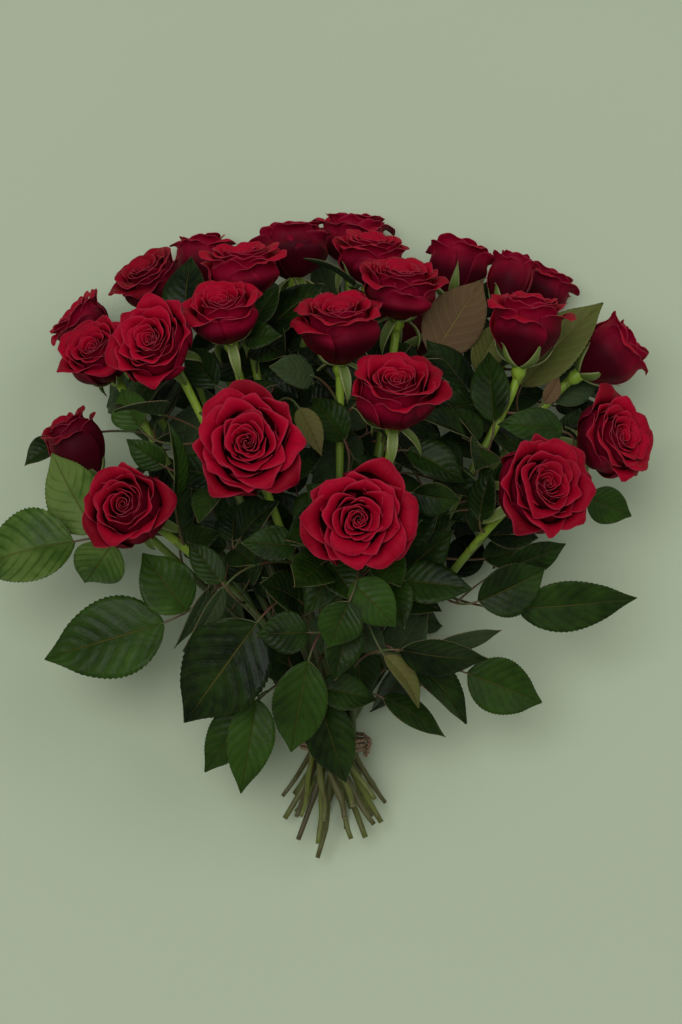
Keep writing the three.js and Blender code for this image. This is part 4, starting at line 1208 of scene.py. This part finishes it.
for rose in roses:
    room.take(bezier(rose.rise, np.linspace(0, 1, 120)))
    if rose.name in BARE_FROM:
        bare = bezier(rose.rise, np.linspace(BARE_FROM[rose.name], 1, 60))
        for nearer in np.linspace(0, BARE_NEARER, 20):
            over = mix(bare, vec(CAMERA_AT), nearer)
            room.take(over[over[:, 2] < BARE_UP_TO])
    turn, out = np.meshgrid(np.linspace(0, 2 * math.pi, 40), np.linspace(0, 0.95, 12))
    disc = [out * np.cos(turn) * rose.r, out * np.sin(turn) * rose.r, 0 * out]
    cover(rose.middle + np.stack(disc, axis=2))
for leaves in leaves_of.values():
    for blades, *_ in leaves:
        for blade in blades:
            occupy(blade)
cell_sides, cell_ups = ((np.arange(n) + 0.5) * SEEN_CELL + low for n, low in zip(SEEN_CELLS, SEEN_LOW))
wanted = in_outline(cell_sides[:, None], cell_ups)
rise_points = np.concatenate([bezier(rose.rise, ROOTS) for rose in roses])
for n in range(GAP_LEAVES + FREE_LEAVES):
    gaps = np.argwhere(wanted & ~covered)
    if n < GAP_LEAVES and len(gaps) == 0:
        continue
    for attempt in range(EXTRA_TRIES):
        rose, start, blades = leaf_over_gap(n, attempt, gaps) if n < GAP_LEAVES else leaf_anywhere(n, attempt)
        # The side leaflets may find no room, but the first one has to.
        kept = []
        for blade in blades or ():
            grid = blade.grid()
            if fits(grid) and clear_of_blooms(grid) and room.free(grid):
                kept.append(blade)
            elif not kept:
                break
        if kept:
            for blade in kept:
                occupy(blade)
            # Leaves high in the bunch get painted light; lower ones stay darker, as painted shade.
            tone = TONE_VARIES * chance(n, 5) + PAINTED_LIGHT_HIGH * (kept[0].base[2] > PAINTED_LIGHT_OVER)
            turned = (TURNED_TONE * chance(n, 7),) if chance(n, 6) < TURNED else None
            leaves_of[rose.name].append((kept, start, [tone + more for more in TONE_STEPS], turned))
            break


def make_leaves(rose):
    build = Build()
    for leaf in leaves_of[rose.name]:
        add_leaf(build, *leaf)
    build.piece(f"leaves_{rose.name}", LEAF, "leaves_and_stems", f"leafy_stem_{rose.name}")


# ---------------------------------------------------------------- the tie, and every piece in its turn
# The twine: how far its plies lie from its middle, their radius and sides, and their twist for each mm.
PLY_OUT, PLY_R, PLY_SIDES, PLY_TWIST = 0.75, 0.85, 6, 1.1
TURN_POINTS, KNOT_POINTS, END_POINTS = 260, 60, 24
# The knot: how far out it starts, how deep, how far on, how long and how wide its loop is, and its turns.
KNOT_OUT, KNOT_LOOP, KNOT_TURNS = 1.5, (1.44, 1.2, 3.2, 3.6), 1.15
# The points of a loose end: how far out from the knot, along the bunch, and to one side.
LOOSE_END = ((1, 0, 2), (3, -2, 4), (1, -6, 6), (-1, -9, 8))


def add_twine(build, core):
    ways = units(np.gradient(core, axis=0))
    side = units(np.cross(ways, [0.05, 1, 0.02]))
    up = np.cross(ways, side)
    for ply in (0, math.pi):
        twist = (lengths(core) * PLY_TWIST + ply)[:, None]
        strand = core + PLY_OUT * (np.cos(twist) * side + np.sin(twist) * up)
        build.tube(strand, np.full(len(core), PLY_R), PLY_SIDES, 0)


def make_tie():
    """Three turns of two-ply twine, its knot on one side and two short ends."""
    build = Build()
    middle = tie_inner + 0.5 * TIE_THICK
    turns = np.linspace(0, TIE_TURNS * 2 * math.pi, TURN_POINTS)
    rises = TIE_PITCH * (turns / (2 * math.pi) - TIE_TURNS / 2)
    add_twine(build, np.stack([middle * np.cos(turns), rises, middle * np.sin(turns)], axis=1))
    out = middle + KNOT_OUT
    knot = np.linspace(0, 2 * math.pi * KNOT_TURNS, KNOT_POINTS)
    deep, off, high, wide = KNOT_LOOP
    loop = [out + deep * np.cos(knot * 2) + off, high * np.sin(knot), wide * np.cos(knot)]
    add_twine(build, np.stack(loop, axis=1))
    for hand in (1, -1):
        end = [(out + further, up, side * hand) for further, up, side in LOOSE_END]
        add_twine(build, bezier(end, np.linspace(0, 1, END_POINTS)))
    build.piece("twine", TWINE, "twine", "tie")


for rose in roses:
    make_bloom(rose)
    make_stem(rose)
    make_leaves(rose)
make_tie()


# ---------------------------------------------------------------- floor, light and camera
FLOOR_REACH, FLOOR_UP = 30, -0.0005
# Each lamp: where it hangs, how large it is and its power. Both face the middle of the bunch.
LAMPS = {"key": ((-0.8, -0.4, 4.3), 2.8, 68), "fill": ((2.4, 1.2, 3.2), 3, 20)}
LIT_AT = (0, 0, 0.1)
SKY, SKY_STRENGTH = rgb(206, 212, 200), 0.31
SENSOR, SEEN_TO = 36, 100


def make_floor():
    s = Shader("floor")
    pale = s.colour(s.noise(3, 3.0), (205, 218, 190), (209, 222, 194))
    mesh = bpy.data.meshes.new("floor")
    corners = [(x * FLOOR_REACH, y * FLOOR_REACH, FLOOR_UP) for x, y in ((-1, -1), (1, -1), (1, 1), (-1, 1))]
    mesh.from_pydata(corners, [], [[0, 1, 2, 3]])
    mesh.materials.append(s.finish(Base_Color=pale, Roughness=0.9))
    floor = put_in_scene("floor", mesh)


def make_light(name, place, size, power):
    data = bpy.data.lights.new(name, "AREA")
    data.shape = "DISK"
    data.size = size
    data.energy = power
    light = put_in_scene(name, data)
    light.location = place
    light.rotation_euler = (Vector(LIT_AT) - Vector(place)).to_track_quat("-Z", "Y").to_euler()


def make_world():
    world = bpy.data.worlds.new("studio")
    world.use_nodes = True
    back = world.node_tree.nodes["Background"]
    back.inputs["Color"].default_value = SKY
    back.inputs["Strength"].default_value = SKY_STRENGTH
    bpy.context.scene.world = world


def make_camera():
    data = bpy.data.cameras.new("camera")
    data.sensor_fit = "AUTO"
    data.sensor_width = SENSOR
    data.lens = SENSOR * CAMERA_AT[2] / (MM_PER_PIXEL * LONG_PIXELS)
    data.clip_end = SEEN_TO
    camera = put_in_scene("camera", data)
    camera.location = to_row([CAMERA_AT])[0]
    camera.rotation_euler = (TILT, 0, 0)
    bpy.context.scene.camera = camera


make_floor()
for name, lamp in LAMPS.items():
    make_light(name, *lamp)
make_world()
make_camera()
bpy.context.scene.view_settings.view_transform = "Standard"
